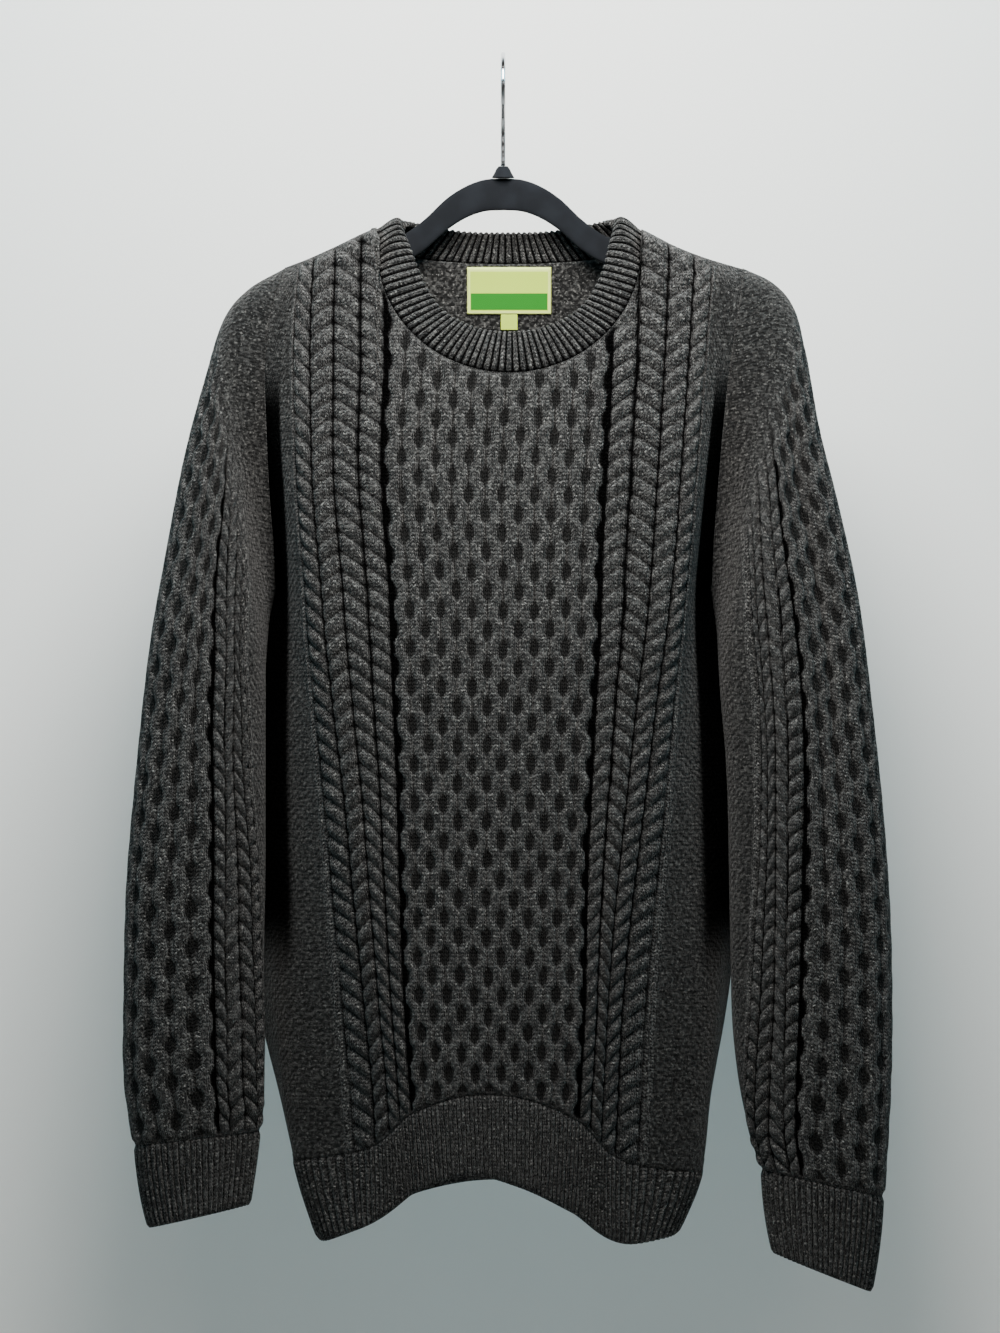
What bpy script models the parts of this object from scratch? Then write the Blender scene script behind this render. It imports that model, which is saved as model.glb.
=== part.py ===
"""A cable-knit fisherman sweater hanging on a slim clothes hanger.

The garment is knitted in pieces: front, back, two sleeves, neckband, hem ribs and cuffs. Each
piece is a wall whose inside is plain and whose outside carries the cables, honeycomb and ribs.

Sizes are in millimetres and MM turns them into Blender's metres. X runs to the viewer's right,
Y away from the viewer, and heights are written as drops below the point where the hook rests on
its rail, which is the origin.
"""

import math

import bmesh
import bpy
import numpy as np

MM = 0.001
SEAM_GAP = 0.3
CLOTH = 4.0             # from the plain inside to the mean outer skin
FLAT = 1.0              # relief of plain cloth, which is the mean outer skin
HIGH = 2.4              # crest of a cable or of a honeycomb cord
LOW = 0.0               # bottom of a channel or of a honeycomb cell
RIDGE_ROUND = 16.0      # how far below the shoulder line the cloth turns over
TURN_ROWS = (1.5, 5.0, 12.0)

HALF_CELL_WIDTH = 13.35     # honeycomb, across
HALF_CELL_HEIGHT = 15.0     # honeycomb, down
ROPE_PITCH = 30.0           # one twist of a rope cable
ROPE_SWAY = 3.4             # how far the crest of a rope swings to each side
PLAIN_PITCH = 40.0          # rows of plain cloth
CHANNEL_PITCH = 30.0        # rows of the channels between cables
INNER_PITCH = 60.0          # rows of the plain inside
UNDERARM_ROWS = (408.0, 418.0)

SIDE_SEAM = 235.0       # cloth from the centre line to the side seam
SIDE_EDGE = 190.0       # where the body turns out of sight
CABLE_EDGE = 161.0      # outer edge of the cable group
COMB_EDGE = 87.0        # edge of the honeycomb
CHANNELS = (COMB_EDGE, 105.0, 124.0, 144.0, CABLE_EDGE)
ROPES = (96.0, 114.5, 134.0, 152.5)

HEATHER = (0.052, 0.052, 0.055, 1.0)
VELVET = (0.012, 0.012, 0.013, 1.0)
STEEL = (0.62, 0.62, 0.64, 1.0)
LABEL_CREAM = (0.72, 0.73, 0.52, 1.0)


def table(columns, *rows):
    """Name the columns of a short table of rows."""
    return dict(zip(columns.split(), np.array(rows, float).T))


# Where the fabric's lines lie across the front at each drop, left and right of the centre
ACROSS = table(
    "drop comb_l cable_l edge_l seam_l comb_r cable_r edge_r seam_r",
    (166, -90, -160, -166, -171, 84, 164, 176, 188),
    (203, -90, -163, -173, -182, 83, 161, 172, 183),
    (244, -90, -164, -175, -186, 82, 158, 168, 177),
    (292, -92, -163, -175, -185, 80, 154, 163, 172),
    (341, -92, -161, -172, -183, 77, 150, 158, 168),
    (382, -89, -158, -170, -180, 75, 147, 154, 165),
    (419, -86, -155, -169, -178, 74, 143, 151, 163),
    (450, -85, -153, -169, -184, 73, 140, 151, 168),
    (505, -83, -148, -170, -187, 70, 134, 154, 171),
    (583, -80, -140, -170, -194, 66, 127, 157, 181),
    (662, -78, -133, -168, -195, 63, 119, 159, 185),
    (740, -75, -126, -166, -193, 62, 112, 158, 177),
    (819, -70, -119, -162, -175, 58, 108, 153, 163),
    (882, -65, -115, -152, -160, 55, 104, 145, 154),
    (940, -60, -111, -134, -142, 51, 100, 122, 130),
)

# How far the front stands forward of the hanger's plane on the same lines
FRONT_BULGE = table(
    "drop mid comb cable edge seam",
    (166, 24, 24, 18, 14, 12),
    (176, 27, 26, 22, 19, 17),
    (203, 32, 30, 27, 24, 22),
    (244, 42, 39, 33, 28, 23),
    (292, 49, 46, 39, 31, 18),
    (341, 55, 52, 43, 31, 8),
    (382, 59, 56, 45, 29, 2),
    (419, 62, 59, 46, 26, -17),
    (450, 65, 62, 48, 25, -19),
    (505, 69, 65, 49, 24, -21),
    (583, 73, 69, 51, 24, -24),
    (662, 76, 71, 51, 25, -26),
    (740, 78, 73, 49, 27, -24),
    (819, 78, 72, 46, 28, -18),
    (882, 75, 69, 43, 27, -10),
    (940, 68, 62, 40, 24, -2),
)

# How far the back stands behind the hanger's plane
BACK_BULGE = table(
    "drop mid comb cable edge seam",
    (166, 22, 22, 19, 14, 12),
    (176, 24, 24, 22, 19, 17),
    (203, 28, 28, 27, 26, 25),
    (244, 34, 34, 32, 31, 29),
    (292, 40, 40, 37, 34, 31),
    (341, 46, 46, 42, 37, 32),
    (382, 50, 50, 45, 39, 31),
    (419, 53, 53, 47, 38, 17),
    (450, 55, 54, 48, 39, 19),
    (505, 57, 56, 50, 41, 21),
    (583, 59, 58, 51, 43, 24),
    (662, 60, 58, 51, 44, 26),
    (740, 59, 57, 50, 42, 24),
    (819, 56, 54, 46, 37, 18),
    (882, 51, 49, 41, 30, 10),
    (940, 46, 44, 34, 20, 2),
)

# The shoulder line, from the left shoulder point over the neck to the right one
SHOULDER = table(
    "x drop",
    (-171, 165.5),
    (-154, 159),
    (-136, 151),
    (-99, 134),
    (0, 127),
    (107, 134.5),
    (136, 149),
    (155, 156.5),
    (188, 166.6),
)

# The armhole, by its angle from the underarm round the front to the shoulder point
ARMHOLE = table(
    "angle y x_left x_right",
    (0, 17, -178, 163),
    (22.5, 6, -179, 164),
    (45, -2, -180, 165),
    (67.5, -8, -183, 168),
    (90, -18, -185, 172),
    (112.5, -23, -186, 177),
    (135, -22, -182, 183),
    (157.5, -15, -174, 187),
    (180, 0, -171, 188),
    (202.5, 15, -174, 187),
    (225, 25, -182, 183),
    (247.5, 29, -186, 177),
    (270, 31, -185, 172),
    (292.5, 32, -183, 168),
    (315, 31, -180, 165),
    (337.5, 26, -179, 164),
    (360, 17, -178, 163),
)
ARMHOLE_TOP = 166.0
UNDERARM = 419.0

# Bottom of the knitted panels and of the hem ribs below them, along the cloth
FRONT_HEM = table(
    "s top bottom",
    (-235, 862, 922),
    (-190, 864, 928),
    (-161, 858, 918),
    (-87, 826, 886),
    (-25, 812, 875),
    (25, 814, 884),
    (87, 832, 904),
    (161, 868, 930),
    (190, 874, 926),
    (235, 866, 918),
)
BACK_HEM = table(
    "s top bottom",
    (-235, 862, 922),
    (-161, 850, 912),
    (-87, 832, 893),
    (0, 824, 884),
    (87, 834, 895),
    (161, 854, 914),
    (235, 866, 918),
)

# The neck seam: down from the shoulder at these lines, then half an ellipse
NECK_LINES = (-96.0, 108.3)
NECK_FRONT = (150.0, 99.0)
NECK_BACK = (147.0, 15.0)

# The neckband's free edge, round the front and round the back
NECK_EDGE_FRONT = table(
    "part x y drop",
    (0.00, -82, 0, 127),
    (0.06, -77, -12, 143),
    (0.13, -69, -20, 166),
    (0.22, -56, -26, 192),
    (0.35, -30, -34, 212),
    (0.50, 5, -38, 219),
    (0.65, 40, -34, 212),
    (0.78, 67, -26, 193),
    (0.87, 80, -20, 168),
    (0.94, 86, -12, 144),
    (1.00, 90, 0, 125.5),
)
NECK_EDGE_BACK = table(
    "part x y drop",
    (0.00, 90, 0, 125.5),
    (0.12, 79, 11, 130),
    (0.28, 46, 17, 137),
    (0.50, 4, 20, 139.5),
    (0.72, -38, 17, 137.5),
    (0.88, -70, 11, 131),
    (1.00, -82, 0, 127),
)
NECK_CROWN = 5.0
NECK_CORNER_GAP = 0.7

# Rings down each sleeve: its outer line, its underarm line, and where it lies front to back
SLEEVE_COLUMNS = "outer_x outer_drop inner_x inner_drop y_mid y_half"
LEFT_SLEEVE = table(
    SLEEVE_COLUMNS,
    (-171, 166, -178, 419, 4, 27),
    (-200, 183, -183, 440, 2, 30),
    (-219, 207, -185, 462, -3, 33),
    (-232, 254, -186, 480, -8, 34),
    (-248, 316, -186, 505, -12, 34),
    (-263, 395, -186, 535, -16, 33),
    (-275, 466, -186, 580, -19, 32),
    (-286, 568, -186, 640, -21, 31),
    (-293, 654, -187, 700, -22, 30),
    (-295, 740, -187, 765, -22, 29),
    (-295, 800, -188, 812, -21, 28),
    (-288, 853, -191, 842, -20, 25),
)
RIGHT_SLEEVE = table(
    SLEEVE_COLUMNS,
    (188, 166, 163, 419, 4, 27),
    (212, 178, 166, 437, 2, 30),
    (228, 198, 168, 457, -3, 33),
    (236, 236, 169, 480, -8, 34),
    (246, 293, 171, 510, -12, 34),
    (262, 358, 174, 545, -16, 33),
    (277, 430, 176, 590, -19, 32),
    (288, 520, 177, 650, -21, 31),
    (297, 610, 178, 705, -22, 30),
    (302, 700, 180, 765, -22, 29),
    (302, 800, 188, 822, -21, 28),
    (297, 893, 203, 872, -20, 25),
)
LEFT_CUFF = table(
    SLEEVE_COLUMNS,
    (-284, 888, -194, 868, -19, 22),
    (-277, 918, -199, 900, -18, 21),
)
RIGHT_CUFF = table(
    SLEEVE_COLUMNS,
    (294, 932, 206, 908, -19, 22),
    (288, 968, 212, 938, -18, 21),
)
SLEEVE_COMB_EDGE = 62.0
SLEEVE_CHANNELS = (SLEEVE_COMB_EDGE, 76.0, 92.5, 109.0, 121.0)
SLEEVE_ROPES = (69.0, 84.0, 101.0, 115.0)
SLEEVE_CABLE_EDGE = 121.0
SLEEVE_MOSS = (0.3, 0.6, 0.85)      # plain columns between the cables and the underarm
SLEEVE_FIRST_RING = 0.45
RING_SHAPE = 0.85

# The deep crease down the front of the right sleeve
CREASE_AT = 58.0
CREASE_WIDTH = 10.0
CREASE_DEPTH = 9.0
CREASE_FROM = 2.2
CREASE_TO = 7.6

HEM_RIB = 7.5           # from a rib to the furrow beside it
CUFF_RIB = 7.5
NECK_RIB = 5.5
RIB_HIGH = 1.7
RIB_LOW = 0.5

HOOK_WIRE = 3.7
HOOK_INNER_RADIUS = 21.5
HOOK_STEM_TOP = 62.0
HUB_TOP = 86.0
HUB_BOTTOM = 95.2
HUB_TOP_RADIUS = 4.2
HUB_BOTTOM_RADIUS = 9.0
HANGER_THICKNESS = 6.0

# The hanger's upper edge and its depth, from the hub to the tip of an arm
HANGER_ARM = table(
    "x top depth",
    (0, 95.5, 25),
    (15, 96.5, 25),
    (29, 101.5, 25),
    (44, 111, 25),
    (62, 128, 24),
    (80, 140.5, 22),
    (100, 145, 22),
    (136, 159, 21),
    (171, 173.5, 19),
    (190, 186, 17),
    (203, 198, 14),
    (210, 208, 8),
)

LABEL_WIDTH = 66.0
LABEL_HEIGHT = 36.0
LABEL_TOP = 164.5
LABEL_X = 4.8
TAB_WIDTH = 13.0
TAB_HEIGHT = 12.0
LABEL_THICKNESS = 0.9


def cubic(at, knots, values):
    """Read a smooth curve through the values at rising knots, level beyond the ends.

    values may have a second axis, one column for each point of at.
    """
    at = np.asarray(at, float)
    slopes = np.gradient(values, knots, axis=0)
    inside = np.clip(at, knots[0], knots[-1])
    i = np.clip(np.searchsorted(knots, inside) - 1, 0, len(knots) - 2)
    span = knots[i + 1] - knots[i]
    f = (inside - knots[i]) / span
    if values.ndim == 2:
        column = np.arange(values.shape[1])
        before, after = values[i, column], values[i + 1, column]
        slope_before, slope_after = slopes[i, column], slopes[i + 1, column]
    else:
        before, after = values[i], values[i + 1]
        slope_before, slope_after = slopes[i], slopes[i + 1]
    return (
        (1 + 2 * f) * (1 - f) ** 2 * before
        + f * (1 - f) ** 2 * span * slope_before
        + f * f * (3 - 2 * f) * after
        + f * f * (f - 1) * span * slope_after
    )


def ease(value):
    """Turn 0 to 1 into a smooth step."""
    value = np.clip(value, 0.0, 1.0)
    return value * value * (3 - 2 * value)


def unit(vectors):
    """Scale vectors to length one."""
    length = np.linalg.norm(vectors, axis=-1, keepdims=True)
    return vectors / np.maximum(length, 1e-9)


LINES = np.array([-SIDE_SEAM, -SIDE_EDGE, -CABLE_EDGE, -COMB_EDGE, 0.0,
                  COMB_EDGE, CABLE_EDGE, SIDE_EDGE, SIDE_SEAM])
LEFT_LINES = ("seam_l", "edge_l", "cable_l", "comb_l")
RIGHT_LINES = ("comb_r", "cable_r", "edge_r", "seam_r")
BULGE_LINES = ("seam", "edge", "cable", "comb", "mid", "comb", "cable", "edge", "seam")


def panel_x(s, drop):
    """Place a point of the cloth across the body, at s from the centre line."""
    left = [cubic(drop, ACROSS["drop"], ACROSS[name]) for name in LEFT_LINES]
    right = [cubic(drop, ACROSS["drop"], ACROSS[name]) for name in RIGHT_LINES]
    middle = (left[-1] + right[0]) / 2
    return cubic(s, LINES, np.stack(left + [middle] + right))


def panel_point(side, s, drop):
    """Place points of the front (side -1) or back (side 1) panel's outer skin."""
    s, drop = np.broadcast_arrays(np.asarray(s, float), np.asarray(drop, float))
    bulges = FRONT_BULGE if side < 0 else BACK_BULGE
    x = panel_x(s, drop)
    rows = [cubic(drop, bulges["drop"], bulges[name]) for name in BULGE_LINES]
    bulge = cubic(s, LINES, np.stack(rows))
    below = drop - cubic(x, SHOULDER["x"], SHOULDER["drop"])
    turn = np.sqrt(1 - (1 - np.clip(below / RIDGE_ROUND, 0, 1)) ** 2)
    away = np.where(bulge > 0, bulge * turn, bulge)
    return np.stack([x, side * away, -drop], axis=-1)


def panel_normal(side, s, drop):
    """Point out of the panel, worked out from its neighbours 1 mm away."""
    step = 1.0
    low = np.clip(np.asarray(s, float) - step, -SIDE_SEAM, SIDE_SEAM)
    high = np.clip(np.asarray(s, float) + step, -SIDE_SEAM, SIDE_SEAM)
    across = panel_point(side, high, drop) - panel_point(side, low, drop)
    down = panel_point(side, s, np.asarray(drop) + step) - panel_point(side, s, drop)
    return unit(np.cross(across, down) * side)


def panel_top(side, s):
    """Find the drop at which a line of the cloth meets the shoulder or the neck."""
    s = np.asarray(s, float)
    start, depth = NECK_FRONT if side < 0 else NECK_BACK
    ends = panel_x(np.array(NECK_LINES), np.full(2, start))
    in_neck = (s > NECK_LINES[0]) & (s < NECK_LINES[1])
    drop = np.full(s.shape, start)
    for _ in range(30):
        x = panel_x(s, drop)
        part = np.clip((x - ends.mean()) / (ends[1] - ends[0]) * 2, -1, 1)
        neck = start + depth * np.sqrt(1 - part ** 2)
        shoulder = cubic(x, SHOULDER["x"], SHOULDER["drop"])
        drop = 0.5 * drop + 0.5 * np.where(in_neck, neck, shoulder)
    return drop


def armhole_point(hand, angle):
    """Place points of an armhole; hand is -1 on the left and 1 on the right."""
    angle = np.mod(np.asarray(angle, float), 360.0)
    y = cubic(angle, ARMHOLE["angle"], ARMHOLE["y"])
    x = cubic(angle, ARMHOLE["angle"], ARMHOLE["x_left" if hand < 0 else "x_right"])
    middle, half = (ARMHOLE_TOP + UNDERARM) / 2, (UNDERARM - ARMHOLE_TOP) / 2
    drop = middle + half * np.cos(np.radians(angle))
    return np.stack([x, y, -drop], axis=-1)


def sleeve_ring(rings, hand, angle, ring):
    """Place points of a sleeve or cuff by ring number and by angle from the underarm."""
    knots = np.arange(len(rings["y_mid"]), dtype=float)
    ring = np.asarray(ring, float)
    row = {name: cubic(ring, knots, values) for name, values in rings.items()}
    turn = np.radians(np.asarray(angle, float))
    along, toward = np.cos(turn), np.sin(turn)
    along = np.sign(along) * np.abs(along) ** RING_SHAPE
    toward = np.sign(toward) * np.abs(toward) ** RING_SHAPE
    x = (row["outer_x"] + row["inner_x"]) / 2 - along * (row["outer_x"] - row["inner_x"]) / 2
    drop = ((row["outer_drop"] + row["inner_drop"]) / 2
            - along * (row["outer_drop"] - row["inner_drop"]) / 2)
    y = row["y_mid"] - toward * row["y_half"]
    return np.stack([x, y, -drop], axis=-1)


def sleeve_point(rings, hand, angle, ring):
    """Place points of a sleeve, which starts at its armhole and hangs from there."""
    angle, ring = np.broadcast_arrays(np.asarray(angle, float), np.asarray(ring, float))
    start = armhole_point(hand, angle) + np.array([hand * SEAM_GAP, 0.0, 0.0])
    hang = sleeve_ring(rings, hand, angle, ring)
    first = sleeve_ring(rings, hand, angle, np.zeros(ring.shape))
    keep = (1 - ease(ring / 4.0))[..., None]
    return hang + (start - first) * keep


class SleeveCloth:
    """Where the lines of a sleeve's cloth lie, measured round a ladder of its rings."""

    STEPS = 10

    def __init__(self, rings, hand):
        self.rings = rings
        self.hand = hand
        self.last = len(rings["y_mid"]) - 1.0
        self.ladder = np.linspace(0, self.last, round(self.STEPS * self.last) + 1)
        self.angles = np.linspace(0, 360, 361)
        grid = sleeve_point(rings, hand, self.angles[None, :], self.ladder[:, None])
        steps = np.linalg.norm(np.diff(grid, axis=1), axis=2)
        length = np.concatenate([np.zeros((len(grid), 1)), np.cumsum(steps, axis=1)], axis=1)
        self.q = length[:, 180:181] - length
        half = np.minimum(self.q[:, 0], -self.q[:, -1])
        self.squeeze = np.minimum(1.0, (half - 9.0) / SLEEVE_CABLE_EDGE)
        self.crease_line = np.array([self.angle(CREASE_AT, ring) for ring in self.ladder])

    def angle(self, q, ring):
        """Find the angle of the line at q from the outer line, on one ring."""
        place = min(max(ring, 0.0), self.last) * self.STEPS
        low = min(int(place), len(self.ladder) - 2)
        found = [np.interp(-q * self.squeeze[n], -self.q[n], self.angles) for n in (low, low + 1)]
        return float(found[0] + (found[1] - found[0]) * (place - low))

    def skin(self, angle, ring):
        """Place the sleeve's outer skin, with the crease that the right one has."""
        angle, ring = np.broadcast_arrays(np.asarray(angle, float), np.asarray(ring, float))
        points = sleeve_point(self.rings, self.hand, angle, ring)
        if self.hand < 0:
            return points
        across = (angle - np.interp(ring, self.ladder, self.crease_line)) / 360.0 * 300.0
        along = np.clip((ring - CREASE_FROM) / (CREASE_TO - CREASE_FROM), 0, 1)
        depth = CREASE_DEPTH * np.exp(-(across / CREASE_WIDTH) ** 2) * np.sin(np.pi * along)
        return points + depth[..., None] * np.array([0.0, 1.0, 0.0])


def tube_normal(point_at, angle, ring, hand):
    """Point out of a sleeve or cuff, from neighbours round it and along it."""
    round_step = point_at(np.asarray(angle) + 1.5, ring) - point_at(np.asarray(angle) - 1.5, ring)
    low = np.maximum(np.asarray(ring, float) - 0.04, 0.0)
    down_step = point_at(angle, low + 0.08) - point_at(angle, low)
    return unit(np.cross(down_step, round_step) * hand)


class Wall:
    """Collects the points and faces of one closed wall of cloth."""

    def __init__(self):
        self.points = []
        self.faces = []

    def add(self, points):
        """Add points and return their numbers."""
        start = len(self.points)
        self.points.extend(np.atleast_2d(points).tolist())
        return list(range(start, len(self.points)))

    def strip(self, first, first_at, second, second_at, height=None, near=1.0):
        """Fill between two lines of points, keeping step by their places along the cloth.

        Where both diagonals are as long, give or take near, the fold takes the higher one.
        """
        i = j = 0
        while i < len(first) - 1 or j < len(second) - 1:
            down = first_at[i + 1] - second_at[j] if i < len(first) - 1 else math.inf
            up = second_at[j + 1] - first_at[i] if j < len(second) - 1 else math.inf
            if height is not None and abs(down - up) < near:
                up += (height[first[i]] + height[second[j + 1]]
                       - height[first[i + 1]] - height[second[j]]) * near
            if down <= up:
                self.faces.append((first[i], first[i + 1], second[j]))
                i += 1
            else:
                self.faces.append((first[i], second[j + 1], second[j]))
                j += 1

    def build(self, name, material, collection):
        """Make the object, with its faces turned outwards."""
        mesh = bpy.data.meshes.new(name)
        mesh.from_pydata([[value * MM for value in point] for point in self.points], [], self.faces)
        shell = bmesh.new()
        shell.from_mesh(mesh)
        bmesh.ops.remove_doubles(shell, verts=shell.verts, dist=1e-6)
        bmesh.ops.recalc_face_normals(shell, faces=shell.faces)
        shell.to_mesh(mesh)
        shell.free()
        mesh.materials.append(material)
        thing = bpy.data.objects.new(name, mesh)
        collection.objects.link(thing)
        return thing


def rows_between(top, bottom, offset, pitch, clear=5.0):
    """List the regular rows between two drops, clear of both ends."""
    first = math.ceil((top + clear - offset) / pitch)
    last = math.floor((bottom - clear - offset) / pitch)
    return [offset + pitch * n for n in range(first, last + 1)]


def comb_column(s, number, top, bottom):
    """List the rows of a honeycomb line, high and low in turn, as (s, drop, height)."""
    rows = rows_between(top, bottom, 0.0, HALF_CELL_HEIGHT)
    return [(s, drop, HIGH if (number + round(drop / HALF_CELL_HEIGHT)) % 2 else LOW)
            for drop in rows]


def rope_column(s, lean, top, bottom, phase=0.0):
    """List the crest of a rope cable, which swings from side to side as it twists."""
    rows = []
    for drop in rows_between(top, bottom, phase, ROPE_PITCH, 8.0):
        rows.append((s - lean * ROPE_SWAY, drop, HIGH))
        rows.append((s + lean * ROPE_SWAY, drop + 0.6 * ROPE_PITCH, HIGH))
    return [row for row in rows if row[1] < bottom - 4.0]


def plain_column(s, top, bottom, height, pitch=PLAIN_PITCH):
    """List the rows of a channel or of plain cloth."""
    return [(s, drop, height) for drop in rows_between(top, bottom, 0.0, pitch, 9.0)]


def wavy_channel(s, sign, top, bottom):
    """List the channel beside the honeycomb, which its outer cells push to and fro."""
    rows = []
    for drop in rows_between(top, bottom, 0.0, HALF_CELL_HEIGHT):
        swing = 2.2 if round(drop / HALF_CELL_HEIGHT) % 2 else -1.0
        rows.append((s + sign * swing, drop, LOW))
    return rows


def panel_lines(side):
    """List the lines of cloth of a panel as (s, kind, number), left to right."""
    lines = [(HALF_CELL_WIDTH * n, "comb", n) for n in range(-6, 7)]
    for sign in (-1, 1):
        lines += [(sign * s, "channel", sign) for s in CHANNELS]
        lines += [(sign * s, "rope", n) for n, s in enumerate(ROPES)]
        lines += [(sign * s, "plain", sign) for s in (176.0, SIDE_EDGE, 204.0, 219.0)]
    lines.append((NECK_LINES[1], "channel", 1))
    return sorted(lines)


# Which way each rope leans from its top, from the honeycomb outwards
ROPE_LEAN = {-1: (-1, 1, -1, 1), 1: (-1, 1, -1, -1)}


def panel_column(side, line):
    """Work out one line of a panel's outer skin, from its top edge to its bottom one."""
    s, kind, number = line
    hem = FRONT_HEM if side < 0 else BACK_HEM
    top = float(panel_top(side, np.array([s]))[0])
    bottom = float(cubic(np.array([s]), hem["s"], hem["top"])[0])
    sign = 1 if s > 0 else -1
    turn = [] if in_neck(s) else [(s, top + f, FLAT) for f in TURN_ROWS]
    top_row = [(s, top, FLAT)] + turn
    top = top_row[-1][1]
    if kind == "comb":
        rows = comb_column(s, number, top, bottom)
    elif kind == "rope":
        rows = rope_column(s, ROPE_LEAN[sign][number], top, bottom)
    elif kind == "plain":
        rows = plain_column(s, top, bottom, FLAT)
        if abs(s) > SIDE_EDGE:
            rows = sorted(rows + [(s, drop, FLAT) for drop in UNDERARM_ROWS])
    elif abs(s) == COMB_EDGE:
        rows = wavy_channel(s, sign, top, bottom)
    else:
        rows = plain_column(s, top, bottom, LOW, CHANNEL_PITCH)
    return top_row + rows + [(s, bottom, FLAT)]


def in_neck(s):
    """Tell whether a line of the cloth ends in the neck and not on a shoulder."""
    return NECK_LINES[0] < s < NECK_LINES[1]


def square_to(line, out, closed=False):
    """Turn wall directions square to the line of points that they start from."""
    if closed:
        way = np.roll(line, -1, axis=0) - np.roll(line, 1, axis=0)
    else:
        way = np.gradient(line, axis=0)
    way = unit(way)
    return unit(out - way * np.sum(out * way, axis=1, keepdims=True))


def border_column(side, hand, steps=9):
    """Work out a panel's outer line: its armhole, then its side seam.

    Returns points, wall directions and places along the line.
    """
    hem = FRONT_HEM if side < 0 else BACK_HEM
    bottom = float(cubic(np.array([hand * SIDE_SEAM]), hem["s"], hem["top"])[0])
    angle = 180 + side * np.linspace(0, 180, steps + 1)
    arm = armhole_point(hand, angle)
    arm[0, 1] = side * SEAM_GAP / 2
    arm[-1, 1] += side * SEAM_GAP / 2
    s = np.full(steps + 1, hand * SIDE_SEAM)
    arm_out = square_to(arm, panel_normal(side, s, -arm[:, 2]))
    arm_out[:, 0] = hand * np.maximum(hand * arm_out[:, 0], 0.05)
    arm_out[0] = (0.0, 0.0, 1.0)
    drops = np.array(rows_between(UNDERARM, bottom, 0.0, PLAIN_PITCH, 8.0) + [bottom])
    seam = panel_point(-1, np.full(drops.shape, hand * SIDE_SEAM), drops)
    seam[:, 1] += side * SEAM_GAP / 2
    seam_out = np.tile([float(hand), 0.0, 0.0], (len(drops), 1))
    arm_out[-1] = (hand, 0.0, 0.0)
    return (np.concatenate([arm, seam]), unit(np.concatenate([arm_out, seam_out])),
            np.concatenate([-arm[:, 2], drops]))


def panel_edges(side):
    """Work out every line of a panel: points, wall directions, drops, heights and s."""
    left = border_column(side, -1)
    right = border_column(side, 1)
    columns = [(*left, np.full(len(left[2]), FLAT), -SIDE_SEAM)]
    for line in panel_lines(side):
        rows = panel_column(side, line)
        s, drop, height = (np.array(values, float) for values in zip(*rows))
        points = panel_point(side, s, drop)
        out = panel_normal(side, s, drop)
        if abs(points[0, 1]) < 1.0:
            points[0, 1] = side * SEAM_GAP / 2
            out[0, 1] = 0.0
        out[-1, 2] = 0.0
        columns.append((points, unit(out), drop, height, line[0]))
    columns.append((*right, np.full(len(right[2]), FLAT), SIDE_SEAM))
    return columns


def rim_rows(columns):
    """List a panel's top edge as (column, row, place along it), left to right.

    The edge runs over each column's first row, and down and up the neck's two side columns.
    """
    rows = []
    for k, column in enumerate(columns):
        s = column[4]
        side_rows = range(len(TURN_ROWS) + 1) if s in NECK_LINES else range(1)
        step = -0.1 if s == NECK_LINES[1] else 0.1
        found = [(k, row, s + step * row) for row in side_rows]
        rows += found[::-1] if step < 0 else found
    return rows


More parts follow.
